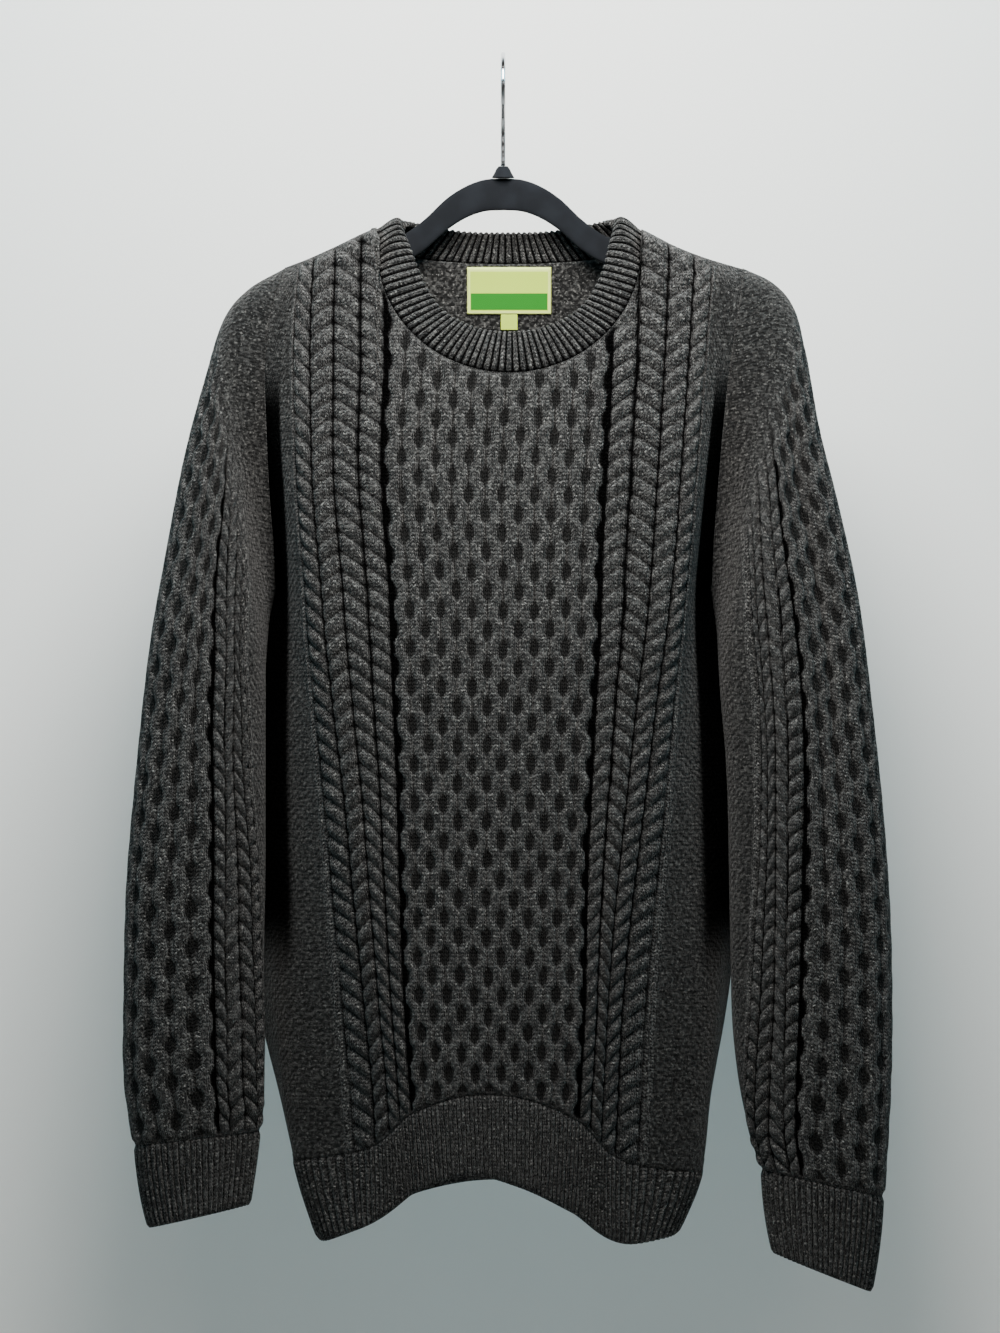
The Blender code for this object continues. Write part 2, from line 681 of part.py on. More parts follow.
def build_panel(name, side, material, collection):
    """Make the front or back panel: relief outside, plain coarse cloth inside.

    Returns its columns and its neck edge, as points and wall directions.
    """
    wall = Wall()
    columns = panel_edges(side)
    outer, height = [], {}
    for points, out, drop, relief, _ in columns:
        numbers = wall.add(points + out * (relief - FLAT)[:, None])
        height.update(zip(numbers, relief))
        outer.append(numbers)
    s_at = [column[4] for column in columns]
    for k in range(len(columns) - 1):
        skip_left = len(TURN_ROWS) if s_at[k] == NECK_LINES[0] else 0
        skip_right = len(TURN_ROWS) if s_at[k + 1] == NECK_LINES[1] else 0
        wall.strip(outer[k][skip_left:], columns[k][2][skip_left:],
                   outer[k + 1][skip_right:], columns[k + 1][2][skip_right:], height)

    last = len(columns) - 1
    rim = rim_rows(columns)
    rim_points = np.array([columns[k][0][row] for k, row, _ in rim])
    rim_out = np.array([columns[k][1][row] for k, row, _ in rim])
    rim_at = [at for _, _, at in rim]
    tops = wall.add(rim_points - rim_out * CLOTH)
    bottoms = [wall.add(c[0][-1:] - c[1][-1:] * CLOTH)[0] for c in columns]
    chains = []
    for k in (0, last):
        points, out, drop = columns[k][0][1:-1], columns[k][1][1:-1], columns[k][2][1:-1]
        chains.append((s_at[k], wall.add(points - out * CLOTH), list(drop)))
    lines = [s for s, kind, _ in panel_lines(side) if kind != "rope"]
    hem = FRONT_HEM if side < 0 else BACK_HEM
    for n, s in enumerate(lines):
        if COMB_EDGE + 22 > abs(s) > COMB_EDGE - 1 or abs(s) > CABLE_EDGE - 1 or n % 2:
            top = float(panel_top(side, np.array([s]))[0])
            bottom = float(cubic(np.array([s]), hem["s"], hem["top"])[0])
            start = [top + 14.0] if in_neck(s) else [top + 7.0, top + 13.0]
            start = [top + 18.0] if s in NECK_LINES else start
            rows = rows_between(top + 24.0, bottom - 10.0, 0.0, INNER_PITCH)
            drop = np.array(start + rows + [bottom - 14.0])
            across = np.full(drop.shape, s)
            points = panel_point(side, across, drop) - panel_normal(side, across, drop) * CLOTH
            chains.append((s, wall.add(points), list(drop)))
    chains.sort(key=lambda chain: chain[0])
    for before, after in zip(chains, chains[1:]):
        wall.strip(before[1], before[2], after[1], after[2])
    chain_s = [chain[0] for chain in chains]
    wall.strip(tops, rim_at, [chain[1][0] for chain in chains], chain_s)
    wall.strip(bottoms, s_at, [chain[1][-1] for chain in chains], chain_s)

    wall.strip([outer[k][row] for k, row, _ in rim], rim_at, tops, rim_at)
    wall.strip([line[-1] for line in outer], s_at, bottoms, s_at)
    for k, chain, end in ((0, chains[0], 0), (last, chains[-1], -1)):
        inside = [tops[end]] + chain[1] + [bottoms[k]]
        wall.strip(outer[k], columns[k][2], inside, columns[k][2])
    wall.build(name, material, collection)
    neck = [n for n, at in enumerate(rim_at) if NECK_LINES[0] <= at <= NECK_LINES[1]]
    return columns, (rim_points[neck], rim_out[neck])


def sleeve_lines(hand):
    """List a sleeve's lines as (q, kind, number), from the underarm round the front."""
    lines = [(HALF_CELL_WIDTH * n, "comb", n) for n in range(-4, 5)]
    for sign in (-1, 1):
        lines += [(sign * q, "channel", sign) for q in SLEEVE_CHANNELS]
        lines += [(sign * q, "rope", n) for n, q in enumerate(SLEEVE_ROPES)]
        lines += [(sign * (SLEEVE_CABLE_EDGE + 50 * part), "moss", part) for part in SLEEVE_MOSS]
    lines.append((SLEEVE_CABLE_EDGE + 100, "underarm", 1.0))
    return sorted(lines, reverse=True)


def line_angle(cloth, line, ring, shift=0.0):
    """Find the angle of a sleeve line on a ring."""
    q, kind, part = line
    if kind == "underarm":
        return 0.0
    if kind != "moss":
        return cloth.angle(q + shift, ring)
    edge = cloth.angle(math.copysign(SLEEVE_CABLE_EDGE, q), ring)
    seam = 0.0 if q > 0 else 360.0
    return edge + (seam - edge) * part


def sleeve_column(cloth, line):
    """Work out one sleeve line: angles, rings and heights, from the armhole to the cuff."""
    dense = np.linspace(SLEEVE_FIRST_RING, cloth.last, 60)
    angles = np.array([line_angle(cloth, line, ring) for ring in dense])
    points = cloth.skin(angles, dense)
    steps = np.linalg.norm(np.diff(points, axis=0), axis=1)
    length = np.concatenate([[0.0], np.cumsum(steps)])
    q, kind, number = line
    top, bottom = 0.0, float(length[-1])
    if kind == "comb":
        rows = rows_between(-bottom, 0.0, 0.0, HALF_CELL_HEIGHT)
        marks = [(0.0, at, HIGH if (number + round(at / HALF_CELL_HEIGHT)) % 2 else LOW)
                 for at in rows]
    elif kind == "rope":
        lean = 1 if number % 2 else -1
        marks = [(s, at, h) for s, at, h in rope_column(0.0, lean, -bottom, 0.0)]
    else:
        relief = LOW if kind == "channel" else FLAT
        pitch = CHANNEL_PITCH if kind == "channel" else PLAIN_PITCH
        marks = [(0.0, at, relief) for at in rows_between(-bottom, 0.0, 0.0, pitch, 9.0)]
    marks = [(0.0, -bottom, FLAT)] + marks + [(0.0, 0.0, FLAT)]
    shift, at, height = (np.array(values, float) for values in zip(*marks))
    ring = np.interp(at + bottom, length, dense)
    angle = np.array([line_angle(cloth, line, float(r), float(d)) for r, d in zip(ring, shift)])
    return angle, ring, height


def wrap(numbers, places, whole):
    """Close a line of points round a tube."""
    return list(numbers) + [numbers[0]], list(places) + [places[0] + whole]


def build_sleeve(name, hand, rings, material, collection):
    """Make a sleeve between its armhole and its cuff."""
    wall = Wall()
    cloth = SleeveCloth(rings, hand)
    last, skin = cloth.last, cloth.skin
    steps = 9
    arm_angle = np.concatenate([np.linspace(0, 180, steps + 1),
                                180 + np.linspace(0, 180, steps + 1)[1:-1]])
    arm = armhole_point(hand, arm_angle) + np.array([hand * SEAM_GAP, 0.0, 0.0])
    arm_out = tube_normal(skin, arm_angle, np.zeros(arm_angle.shape) + 0.05, hand)
    arm_out = square_to(arm, arm_out, True)
    arm_out[:, 0] = hand * np.minimum(hand * arm_out[:, 0], -0.02)
    arm_out = unit(arm_out)

    columns = []
    for line in sleeve_lines(hand):
        angle, ring, height = sleeve_column(cloth, line)
        columns.append((angle, ring, height, line))
    columns.sort(key=lambda column: column[0][0])
    outer, relief = [], {}
    for angle, ring, height, _ in columns:
        out = tube_normal(skin, angle, ring, hand)
        points = skin(angle, ring)
        out[-1] = end_direction(rings, out[-1])
        numbers = wall.add(points + out * (height - FLAT)[:, None])
        relief.update(zip(numbers, height))
        outer.append(numbers)
    arm_outer = wall.add(arm)
    relief.update(zip(arm_outer, [FLAT] * len(arm_outer)))
    for k in range(len(columns)):
        n = (k + 1) % len(columns)
        wall.strip(outer[k], columns[k][1], outer[n], columns[n][1], relief, 0.04)
    first_angles = [column[0][0] for column in columns]
    arm_loop = wrap(arm_outer, list(arm_angle), 360.0)
    wall.strip(*arm_loop, *wrap([line[0] for line in outer], first_angles, 360.0))

    chains = []
    for angle, ring, _, line in columns:
        if line[1] == "rope" or abs(line[0]) in SLEEVE_CHANNELS[1::2]:
            continue
        rows = np.concatenate([[SLEEVE_FIRST_RING], np.arange(1, 3, 0.5), np.arange(3, last, 1),
                               [last - 0.25]])
        angles = np.array([line_angle(cloth, line, float(r)) for r in rows])
        points = skin(angles, rows) - tube_normal(skin, angles, rows, hand) * CLOTH
        chains.append((wall.add(points), list(rows), angles))
    for k in range(len(chains)):
        after = chains[(k + 1) % len(chains)]
        wall.strip(chains[k][0], chains[k][1], after[0], after[1])
    arm_inner = wall.add(arm - arm_out * CLOTH)
    wall.strip(*wrap(arm_inner, list(arm_angle), 360.0),
               *wrap([c[0][0] for c in chains], [c[2][0] for c in chains], 360.0))
    end_angles = [column[0][-1] for column in columns]
    ends = skin(np.array(end_angles), np.full(len(columns), last))
    end_out = tube_normal(skin, np.array(end_angles), np.full(len(columns), last), hand)
    end_out = np.array([end_direction(rings, out) for out in end_out])
    end_inner = wall.add(ends - end_out * CLOTH)
    wall.strip(*wrap(end_inner, end_angles, 360.0),
               *wrap([c[0][-1] for c in chains], [c[2][-1] for c in chains], 360.0))
    wall.strip(*arm_loop, *wrap(arm_inner, list(arm_angle), 360.0))
    wall.strip(*wrap([line[-1] for line in outer], end_angles, 360.0),
               *wrap(end_inner, end_angles, 360.0))
    wall.build(name, material, collection)
    return ends, end_out, end_angles


def end_direction(rings, out):
    """Turn a wall direction into the plane of the sleeve's last ring."""
    axis = end_axis(rings)
    return unit(out - axis * np.dot(out, axis))


def end_axis(rings):
    """Point down the sleeve, square to its last ring."""
    across = np.array([rings["outer_x"][-1] - rings["inner_x"][-1], 0.0,
                       -(rings["outer_drop"][-1] - rings["inner_drop"][-1])])
    axis = unit(np.array([across[2], 0.0, -across[0]]))
    return axis if axis[2] < 0 else -axis


def along_line(points, out, spacing, even=False):
    """Divide a line of points, and keep its own corners.

    Returns points, wall directions and distances along the line; even asks for an even number
    of steps.
    """
    steps = np.linalg.norm(np.diff(points, axis=0), axis=1)
    pieces = np.maximum(1, np.round(steps / spacing)).astype(int)
    if even and pieces.sum() % 2:
        pieces[np.argmax(steps / pieces)] += 1
    length = np.concatenate([[0.0], np.cumsum(steps)])
    at = [length[0]]
    for n, count in enumerate(pieces):
        at += list(np.linspace(length[n], length[n + 1], count + 1)[1:])
    place = np.stack([np.interp(at, length, points[:, k]) for k in range(3)], axis=-1)
    way = np.stack([np.interp(at, length, out[:, k]) for k in range(3)], axis=-1)
    return place, way, np.array(at)


def build_rib(name, rows, outs, closed, cloth, material, collection, end_taper=1.0):
    """Make a ribbed band from rows of points and wall directions, ribs along the columns.

    end_taper thins the last row, as a folded edge is.
    """
    wall = Wall()
    count = len(rows[0])
    rib = np.where(np.arange(count) % 2, RIB_LOW, RIB_HIGH)
    if not closed:
        rib[0] = rib[-1] = FLAT
    places = list(range(count))
    coarse = list(range(0, count - 1, 4)) + ([] if closed else [count - 1])
    outer, inner = [], []
    for n, (points, out) in enumerate(zip(rows, outs)):
        final = n == len(rows) - 1
        pull = cloth * (1 - end_taper) / 2 if final else 0.0
        outer.append(wall.add(points + out * (rib - FLAT - pull)[:, None]))
        keep = places if n in (0, len(rows) - 1) or not closed and n < 0 else coarse
        inside = points[keep] - out[keep] * (cloth - pull)
        inner.append((wall.add(inside), keep))
    whole = float(count)

    def joined(numbers, at):
        return wrap(numbers, at, whole) if closed else (list(numbers), list(at))

    for above, below in zip(outer, outer[1:]):
        wall.strip(*joined(above, places), *joined(below, places))
    for above, below in zip(inner, inner[1:]):
        wall.strip(*joined(*above), *joined(*below))
    wall.strip(*joined(outer[0], places), *joined(*inner[0]))
    wall.strip(*joined(outer[-1], places), *joined(*inner[-1]))
    if not closed:
        for side in (0, -1):
            wall.strip([row[side] for row in outer], range(len(rows)),
                       [row[0][side] for row in inner], range(len(rows)))
    return wall.build(name, material, collection)


def build_hem(name, side, columns, material, collection):
    """Make the front or back hem rib below its panel."""
    hem = FRONT_HEM if side < 0 else BACK_HEM
    edge = np.array([column[0][-1] for column in columns])
    edge_out = np.array([column[1][-1] for column in columns])
    top, top_out, at = along_line(edge, edge_out, HEM_RIB)
    steps = np.linalg.norm(np.diff(edge, axis=0), axis=1)
    length = np.concatenate([[0.0], np.cumsum(steps)])
    s = np.interp(at, length, [column[4] for column in columns])
    top = top + np.array([0.0, 0.0, -SEAM_GAP])
    bottom_drop = cubic(s, hem["s"], hem["bottom"])
    rows, outs = [top], [top_out]
    for part in (0.5, 1.0):
        drop = -top[:, 2] * (1 - part) + bottom_drop * part
        points = panel_point(side, s, drop)
        out = panel_normal(side, s, drop)
        out[:, 2] = 0.0
        for end, hand in ((0, -1), (-1, 1)):
            points[end] = panel_point(-1, s[end], drop[end])
            points[end, 1] += side * SEAM_GAP / 2
            out[end] = (hand, 0.0, 0.0)
        rows.append(points)
        outs.append(unit(out))
    return build_rib(name, rows, outs, False, CLOTH, material, collection)


def build_cuff(name, hand, cuff, rings, sleeve_end, material, collection):
    """Make a cuff below its sleeve."""
    ends, end_out, end_angles = sleeve_end
    ends = np.concatenate([ends, ends[:1]])
    end_out = np.concatenate([end_out, end_out[:1]])
    top, top_out, at = along_line(ends, end_out, CUFF_RIB, True)
    steps = np.linalg.norm(np.diff(ends, axis=0), axis=1)
    length = np.concatenate([[0.0], np.cumsum(steps)])
    angle = np.interp(at, length, end_angles + [end_angles[0] + 360.0])[:-1]
    top, top_out = top[:-1] + end_axis(rings) * SEAM_GAP, top_out[:-1]
    rows, outs = [top], [top_out]
    for ring in (0.0, 1.0):
        place = np.full(angle.shape, ring)
        points = sleeve_ring(cuff, hand, angle, place)

        def skin(at, number):
            return sleeve_ring(cuff, hand, at, number)

        rows.append(points)
        outs.append(tube_normal(skin, angle, place, hand))
    return build_rib(name, rows, outs, True, CLOTH, material, collection)


def build_neckband(front_edge, back_edge, material, collection):
    """Make the folded rib round the neck, from the neck seam to its free edge."""
    back_edge = tuple(values[::-1] for values in back_edge)
    seams, outs, edges = [], [], []
    for (points, out), edge in ((front_edge, NECK_EDGE_FRONT), (back_edge, NECK_EDGE_BACK)):
        place, way, at = along_line(points, out, NECK_RIB, True)
        part = at / at[-1]
        seams.append(place[:-1])
        outs.append(way[:-1])
        edges.append(np.stack([cubic(part[:-1], edge["part"], edge["x"]),
                               cubic(part[:-1], edge["part"], edge["y"]),
                               -cubic(part[:-1], edge["part"], edge["drop"])], axis=-1))
    seam, seam_out, free = np.concatenate(seams), np.concatenate(outs), np.concatenate(edges)
    straight = unit(seam_out)
    inward = unit(free - seam)
    inward = unit(inward - straight * np.sum(inward * straight, axis=1, keepdims=True))
    across = np.roll(seam, -1, axis=0) - np.roll(seam, 1, axis=0)
    facing = unit(np.cross(free - seam, across))
    facing *= np.sign(np.sum(facing * straight, axis=1, keepdims=True))
    side = ease(1 - np.abs(seam[:, 1]) / 16.0)
    turning = ease(1 - (np.abs(seam[:, 1]) - 8.0) / 16.0)
    crown = (1.5 + (NECK_CROWN - 1.5) * side)[:, None]
    between = unit(facing + straight)
    gap = SEAM_GAP + NECK_CORNER_GAP * turning[:, None]
    rows = [seam + inward * gap, (seam + free) / 2 + between * crown, free]
    return build_rib("neckband", rows, [seam_out, between, facing], True, CLOTH, material,
                     collection, 0.5)


def build_patch(name, x, top, width, height, steps, material, collection):
    """Make a flat piece sewn on the inside of the back panel, in steps across and down."""
    wall = Wall()
    across = np.linspace(x - width / 2, x + width / 2, steps[0] + 1)
    drops = np.linspace(top, top + height, steps[1] + 1)
    grid_x, grid_drop = np.meshgrid(across, drops)
    s = np.zeros(grid_x.shape)
    for _ in range(20):
        s += grid_x - panel_x(s.ravel(), grid_drop.ravel()).reshape(s.shape)
    flat_s, flat_drop = s.ravel(), grid_drop.ravel()
    skin = panel_point(1, flat_s, flat_drop)
    out = panel_normal(1, flat_s, flat_drop)
    near = wall.add(skin - out * (CLOTH + SEAM_GAP))
    far = wall.add(skin - out * (CLOTH + SEAM_GAP + LABEL_THICKNESS))
    wide = len(across)
    for numbers in (near, far):
        for row in range(len(drops) - 1):
            wall.strip(numbers[row * wide:(row + 1) * wide], range(wide),
                       numbers[(row + 1) * wide:(row + 2) * wide], range(wide))
    rim = (list(range(wide)) + [wide * (r + 1) + wide - 1 for r in range(len(drops) - 1)]
           + list(range(wide * len(drops) - 2, wide * (len(drops) - 1) - 1, -1))
           + [wide * r for r in range(len(drops) - 2, 0, -1)])
    wall.strip(*wrap([near[n] for n in rim], range(len(rim)), len(rim)),
               *wrap([far[n] for n in rim], range(len(rim)), len(rim)))
    return wall.build(name, material, collection)


def build_hanger(material, collection):
    """Make the slim hanger: an outline of two arms, given its thickness and soft edges."""
    right = np.linspace(0, HANGER_ARM["x"][-1], 17)
    x = np.concatenate([-right[:0:-1], right])
    top = cubic(np.abs(x), HANGER_ARM["x"], HANGER_ARM["top"])
    depth = cubic(np.abs(x), HANGER_ARM["x"], HANGER_ARM["depth"])
    mesh = bpy.data.meshes.new("hanger")
    upper = [(a * MM, 0.0, -b * MM) for a, b in zip(x, top)]
    lower = [(a * MM, 0.0, -(b + c) * MM) for a, b, c in zip(x, top, depth)]
    count = len(x)
    faces = [(n, n + count, n + count + 1, n + 1) for n in range(count - 1)]
    mesh.from_pydata(upper + lower, [], faces)
    mesh.materials.append(material)
    hanger = bpy.data.objects.new("hanger", mesh)
    collection.objects.link(hanger)
    solid = hanger.modifiers.new("thickness", "SOLIDIFY")
    solid.thickness = HANGER_THICKNESS * MM
    solid.offset = 0.0
    edge = hanger.modifiers.new("soft_edge", "BEVEL")
    edge.width = 1.2 * MM
    edge.segments = 1
    edge.limit_method = "ANGLE"
    edge.angle_limit = math.radians(50)
    return hanger


def build_hub(material, collection):
    """Make the small cone where the hook enters the hanger: a turned profile."""
    profile = [(0.0, HUB_TOP), (HUB_TOP_RADIUS, HUB_TOP), (HUB_TOP_RADIUS + 1.2, HUB_TOP + 2.0),
               (HUB_BOTTOM_RADIUS, HUB_BOTTOM), (0.0, HUB_BOTTOM)]
    mesh = bpy.data.meshes.new("hanger_hub")
    mesh.from_pydata([(x * MM, 0.0, -drop * MM) for x, drop in profile],
                     [(n, n + 1) for n in range(len(profile) - 1)], [])
    mesh.materials.append(material)
    hub = bpy.data.objects.new("hanger_hub", mesh)
    collection.objects.link(hub)
    turn = hub.modifiers.new("turn", "SCREW")
    turn.steps = 16
    turn.render_steps = 16
    turn.use_merge_vertices = True
    turn.merge_threshold = 0.00005
    return hub


def hook_path():
    """Follow the hook's wire from its tip behind, over the rail, to its stem above the hub."""
    radius = HOOK_INNER_RADIUS + HOOK_WIRE / 2
    centre = HOOK_INNER_RADIUS
    arc = [(radius * math.cos(math.radians(turn)), -centre + radius * math.sin(math.radians(turn)))
           for turn in range(-12, 229, 12)]
    end, way = np.array(arc[-1]), np.array([math.sin(math.radians(228)) * -1.0,
                                           math.cos(math.radians(228))])
    stem = np.array([0.0, -HOOK_STEM_TOP])
    pull = 26.0
    curve = []
    for f in np.linspace(0.2, 1.0, 5):
        place = ((1 + 2 * f) * (1 - f) ** 2 * end + f * (1 - f) ** 2 * pull * way
                 + f * f * (3 - 2 * f) * stem + f * f * (f - 1) * pull * np.array([0.0, -1.0]))
        curve.append((place[0], place[1]))
    flat = [(y, z) for y, z in arc] + curve + [(0.0, -(HUB_TOP - SEAM_GAP))]
    return [(0.0, y * MM, z * MM) for y, z in flat]


def build_hook(material, collection):
    """Make the wire hook, a curve with a round section, turned edge-on to the viewer."""
    curve = bpy.data.curves.new("hanger_hook", "CURVE")
    curve.dimensions = "3D"
    curve.bevel_depth = HOOK_WIRE / 2 * MM
    curve.bevel_resolution = 1
    curve.use_fill_caps = True
    path = hook_path()
    spline = curve.splines.new("POLY")
    spline.points.add(len(path) - 1)
    for point, place in zip(spline.points, path):
        point.co = (*place, 1.0)
    curve.materials.append(material)
    hook = bpy.data.objects.new("hanger_hook", curve)
    collection.objects.link(hook)
    return hook


def make_material(name, colour, roughness, metallic=0.0):
    """Make a plain finish for a piece."""
    material = bpy.data.materials.new(name)
    material.use_nodes = True
    shader = material.node_tree.nodes["Principled BSDF"]
    shader.inputs["Base Color"].default_value = colour
    shader.inputs["Roughness"].default_value = roughness
    shader.inputs["Metallic"].default_value = metallic
    return material


def main():
    """Clear the scene and build the sweater and its hanger."""
    for thing in list(bpy.data.objects):
        bpy.data.objects.remove(thing, do_unlink=True)
    collection = bpy.data.collections.new("fisherman_sweater_on_hanger")
    bpy.context.scene.collection.children.link(collection)

    def wool(name):
        return make_material(name + "_wool", HEATHER, 0.95)

    front_columns, front_neck = build_panel("front_panel", -1, wool("front"), collection)
    back_columns, back_neck = build_panel("back_panel", 1, wool("back"), collection)
    build_hem("front_hem_rib", -1, front_columns, wool("front_hem"), collection)
    build_hem("back_hem_rib", 1, back_columns, wool("back_hem"), collection)
    build_neckband(front_neck, back_neck, wool("neckband"), collection)
    for word, hand, rings, cuff in (("left", -1, LEFT_SLEEVE, LEFT_CUFF),
                                    ("right", 1, RIGHT_SLEEVE, RIGHT_CUFF)):
        end = build_sleeve(word + "_sleeve", hand, rings, wool(word + "_sleeve"), collection)
        build_cuff(word + "_cuff", hand, cuff, rings, end, wool(word + "_cuff"), collection)
    cream = make_material("label_weave", LABEL_CREAM, 0.8)
    build_patch("neck_label", LABEL_X, LABEL_TOP, LABEL_WIDTH, LABEL_HEIGHT, (4, 3), cream,
                collection)
    build_patch("size_tab", LABEL_X, LABEL_TOP + LABEL_HEIGHT + SEAM_GAP, TAB_WIDTH, TAB_HEIGHT,
                (1, 1), make_material("tab_weave", LABEL_CREAM, 0.8), collection)
    build_hanger(make_material("velvet", VELVET, 1.0), collection)
    build_hub(make_material("hub_plastic", VELVET, 0.6), collection)
    build_hook(make_material("hook_steel", STEEL, 0.2, 1.0), collection)


main()
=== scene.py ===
"""Looks for a cable-knit fisherman sweater that hangs on a slim clothes hanger.

Every knitted piece is built again from the sizes of the CAD part, as a closed wall of cloth whose
outside carries the honeycomb, cables and ribs at full fineness. Sizes are in millimetres until a
mesh is made. X runs to the viewer's right, Y away from the viewer, and heights are written as
drops below the point where the hook rests on its rail, which is the origin.
"""

from __future__ import annotations

import logging
import math
from dataclasses import dataclass, field
from enum import Enum

import bpy
import numpy as np
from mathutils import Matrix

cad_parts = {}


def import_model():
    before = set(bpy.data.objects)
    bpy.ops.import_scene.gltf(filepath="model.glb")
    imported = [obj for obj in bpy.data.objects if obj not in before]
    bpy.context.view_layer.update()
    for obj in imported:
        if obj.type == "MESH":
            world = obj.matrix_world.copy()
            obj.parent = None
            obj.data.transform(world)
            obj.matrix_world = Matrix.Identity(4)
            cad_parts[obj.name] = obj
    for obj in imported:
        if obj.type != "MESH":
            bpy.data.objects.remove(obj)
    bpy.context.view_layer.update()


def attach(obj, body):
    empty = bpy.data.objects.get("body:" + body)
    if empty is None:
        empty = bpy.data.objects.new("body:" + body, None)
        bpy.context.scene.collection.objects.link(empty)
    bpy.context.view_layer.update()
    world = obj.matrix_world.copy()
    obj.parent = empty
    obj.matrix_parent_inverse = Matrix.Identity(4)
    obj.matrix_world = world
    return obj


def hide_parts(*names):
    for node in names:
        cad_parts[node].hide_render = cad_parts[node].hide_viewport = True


LOG = logging.getLogger("sweater")

MM = 0.001
SEAM_GAP = 0.3
CLOTH = 4.0             # from the plain inside to the mean outer skin
FLAT = 1.0              # relief of plain cloth, which is the mean outer skin
RIDGE_ROUND = 16.0      # how far below the shoulder line the cloth turns over
RIDGE_ROWS = 12         # fine rows where it turns over
LEVEL_FROM = 300.0      # below this drop the rows of a panel run level with its hem

SIDE_SEAM = 235.0       # cloth from the centre line to the side seam
SIDE_EDGE = 190.0       # where the body turns out of sight
CABLE_EDGE = 161.0      # outer edge of the cable group
WELT = 163.5            # the thin ridge outside the cable group
COMB_EDGE = 87.0        # edge of the honeycomb

CELL_WIDTH = 13.35      # honeycomb, from one line of cells to the next
CELL_PERIOD = 30.0      # honeycomb, from a cell to the next one below it
CELL_FLOOR = 0.5        # how far the cloth in a cell stands above the bottom of a channel
CORD_SWING = (1.6, 2.4)         # how far a cord swings to each side, high up and low down
CORD_HALF = (4.95, 4.5)         # half a cord's width, high up and low down
CORD_OPENS = (280.0, 560.0)     # the drops between which the cells open
CORD_HEIGHT = 3.4
CORD_SNAP = 1.6         # how sharply a cord crosses from one side to the other
CORD_ROUND = 0.6        # the power that shapes its section: 0.5 is round, 1 a parabola
STRAND_PITCH = 15.0     # from a strand of a cable to the next one below it
STRAND_SLOPE = 0.75
STRAND_HEIGHT = 3.8
STRAND_GROOVE = 0.05    # share of the height that is left between two strands
STRAND_ROUND = 0.85
CABLE_ROUND = 0.55
WELT_HEIGHT = 1.5
WELT_HALF = 1.7
MOSS_FROM = 2.0         # from a welt to the first moss
MOSS_FULL = 4.0         # from a welt to where all is moss
STITCH_FADE = 5.0       # how far from its ends a piece's stitches start

# How the stitches wander: a size, and the ways down and across in which a sine turns a radian
WANDER_ACROSS = ((0.3, 17.0, 29.0), (0.2, 7.3, -11.0))
WANDER_DOWN = ((0.8, 43.0, 19.0), (0.4, -23.0, 8.1))

# Drops at which the sleeves begin and end to lie against the body, between which painted shade darkens
# the body's side
PAINTED_SHADE_FADES_IN = (230.0, 290.0)
PAINTED_SHADE_FADES_OUT = (740.0, 660.0)
PAINTED_SHADE_FRINGE = (-6.0, 2.0)       # across the edge of the body, where the painted shade begins

RIB_HEIGHT = 1.9
RIB_SUNK = 0.5          # how far the furrows lie below the mean outer skin
RIB_ROUND = 0.6
RIB_START = 0.35        # share of the way into its full height at which a rib starts
RIB_GROWS = 6.0
RIB_EDGE = 1.3          # how much a ribbed edge is rounded
NECK_RIB = 6.0
NECK_STRIDE = 8         # fine columns for each rib of the neckband
NECK_CLOSE = 0.03       # gap at the neck seam, where light would show through a wider one
CUFF_RIBS = 52
STRIDE = 6              # fine cells of the outside for each cell of the plain inside
PANEL_KNOTS = (-235.0, -161.0, -143.5, -125.5, -107.0, -86.775,
               86.775, 107.0, 125.5, 143.5, 161.0, 235.0)
PANEL_STEPS = (33, 10, 11, 11, 12, 104, 12, 11, 11, 10, 33)   # columns between the knots

HOOK_WIRE = 3.7
HOOK_INNER_RADIUS = 21.5
HOOK_STEM_TOP = 62.0
HUB_TOP = 86.0
HANGER_THICKNESS = 6.0

LABEL_WIDTH = 66.0
LABEL_HEIGHT = 36.0
LABEL_TOP = 164.5
LABEL_X = 4.8
TAB_WIDTH = 13.0
TAB_HEIGHT = 12.0
LABEL_THICKNESS = 0.9


def table(columns: str, *rows: tuple[float, ...]) -> dict[str, np.ndarray]:
    """Name the columns of a short table.

    Args:
        columns: The columns' names, with spaces between them.
        rows: The table's rows.

    Returns:
        Each column's values under its name.
    """
    return dict(zip(columns.split(), np.array(rows, float).T))


# Where the fabric's lines lie across the front at each drop, left and right of the centre
ACROSS = table(
    "drop comb_l cable_l edge_l seam_l comb_r cable_r edge_r seam_r",
    (166, -90, -160, -166, -171, 84, 164, 176, 188),
    (203, -90, -163, -173, -182, 83, 161, 172, 183),
    (244, -90, -164, -175, -186, 82, 158, 168, 177),
    (292, -92, -163, -175, -185, 80, 154, 163, 172),
    (341, -92, -161, -172, -183, 77, 150, 158, 168),
    (382, -89, -158, -170, -180, 75, 147, 154, 165),
    (419, -86, -155, -169, -178, 74, 143, 151, 163),
    (450, -85, -153, -169, -188, 73, 140, 151, 170),
    (505, -83, -148, -170, -190, 70, 134, 154, 173),
    (583, -80, -140, -170, -194, 66, 127, 157, 181),
    (662, -78, -133, -168, -195, 63, 119, 159, 185),
    (740, -75, -126, -166, -193, 62, 112, 158, 177),
    (819, -70, -119, -162, -175, 58, 108, 153, 163),
    (882, -65, -115, -152, -160, 55, 104, 145, 154),
    (940, -60, -111, -134, -142, 51, 100, 122, 130),
)

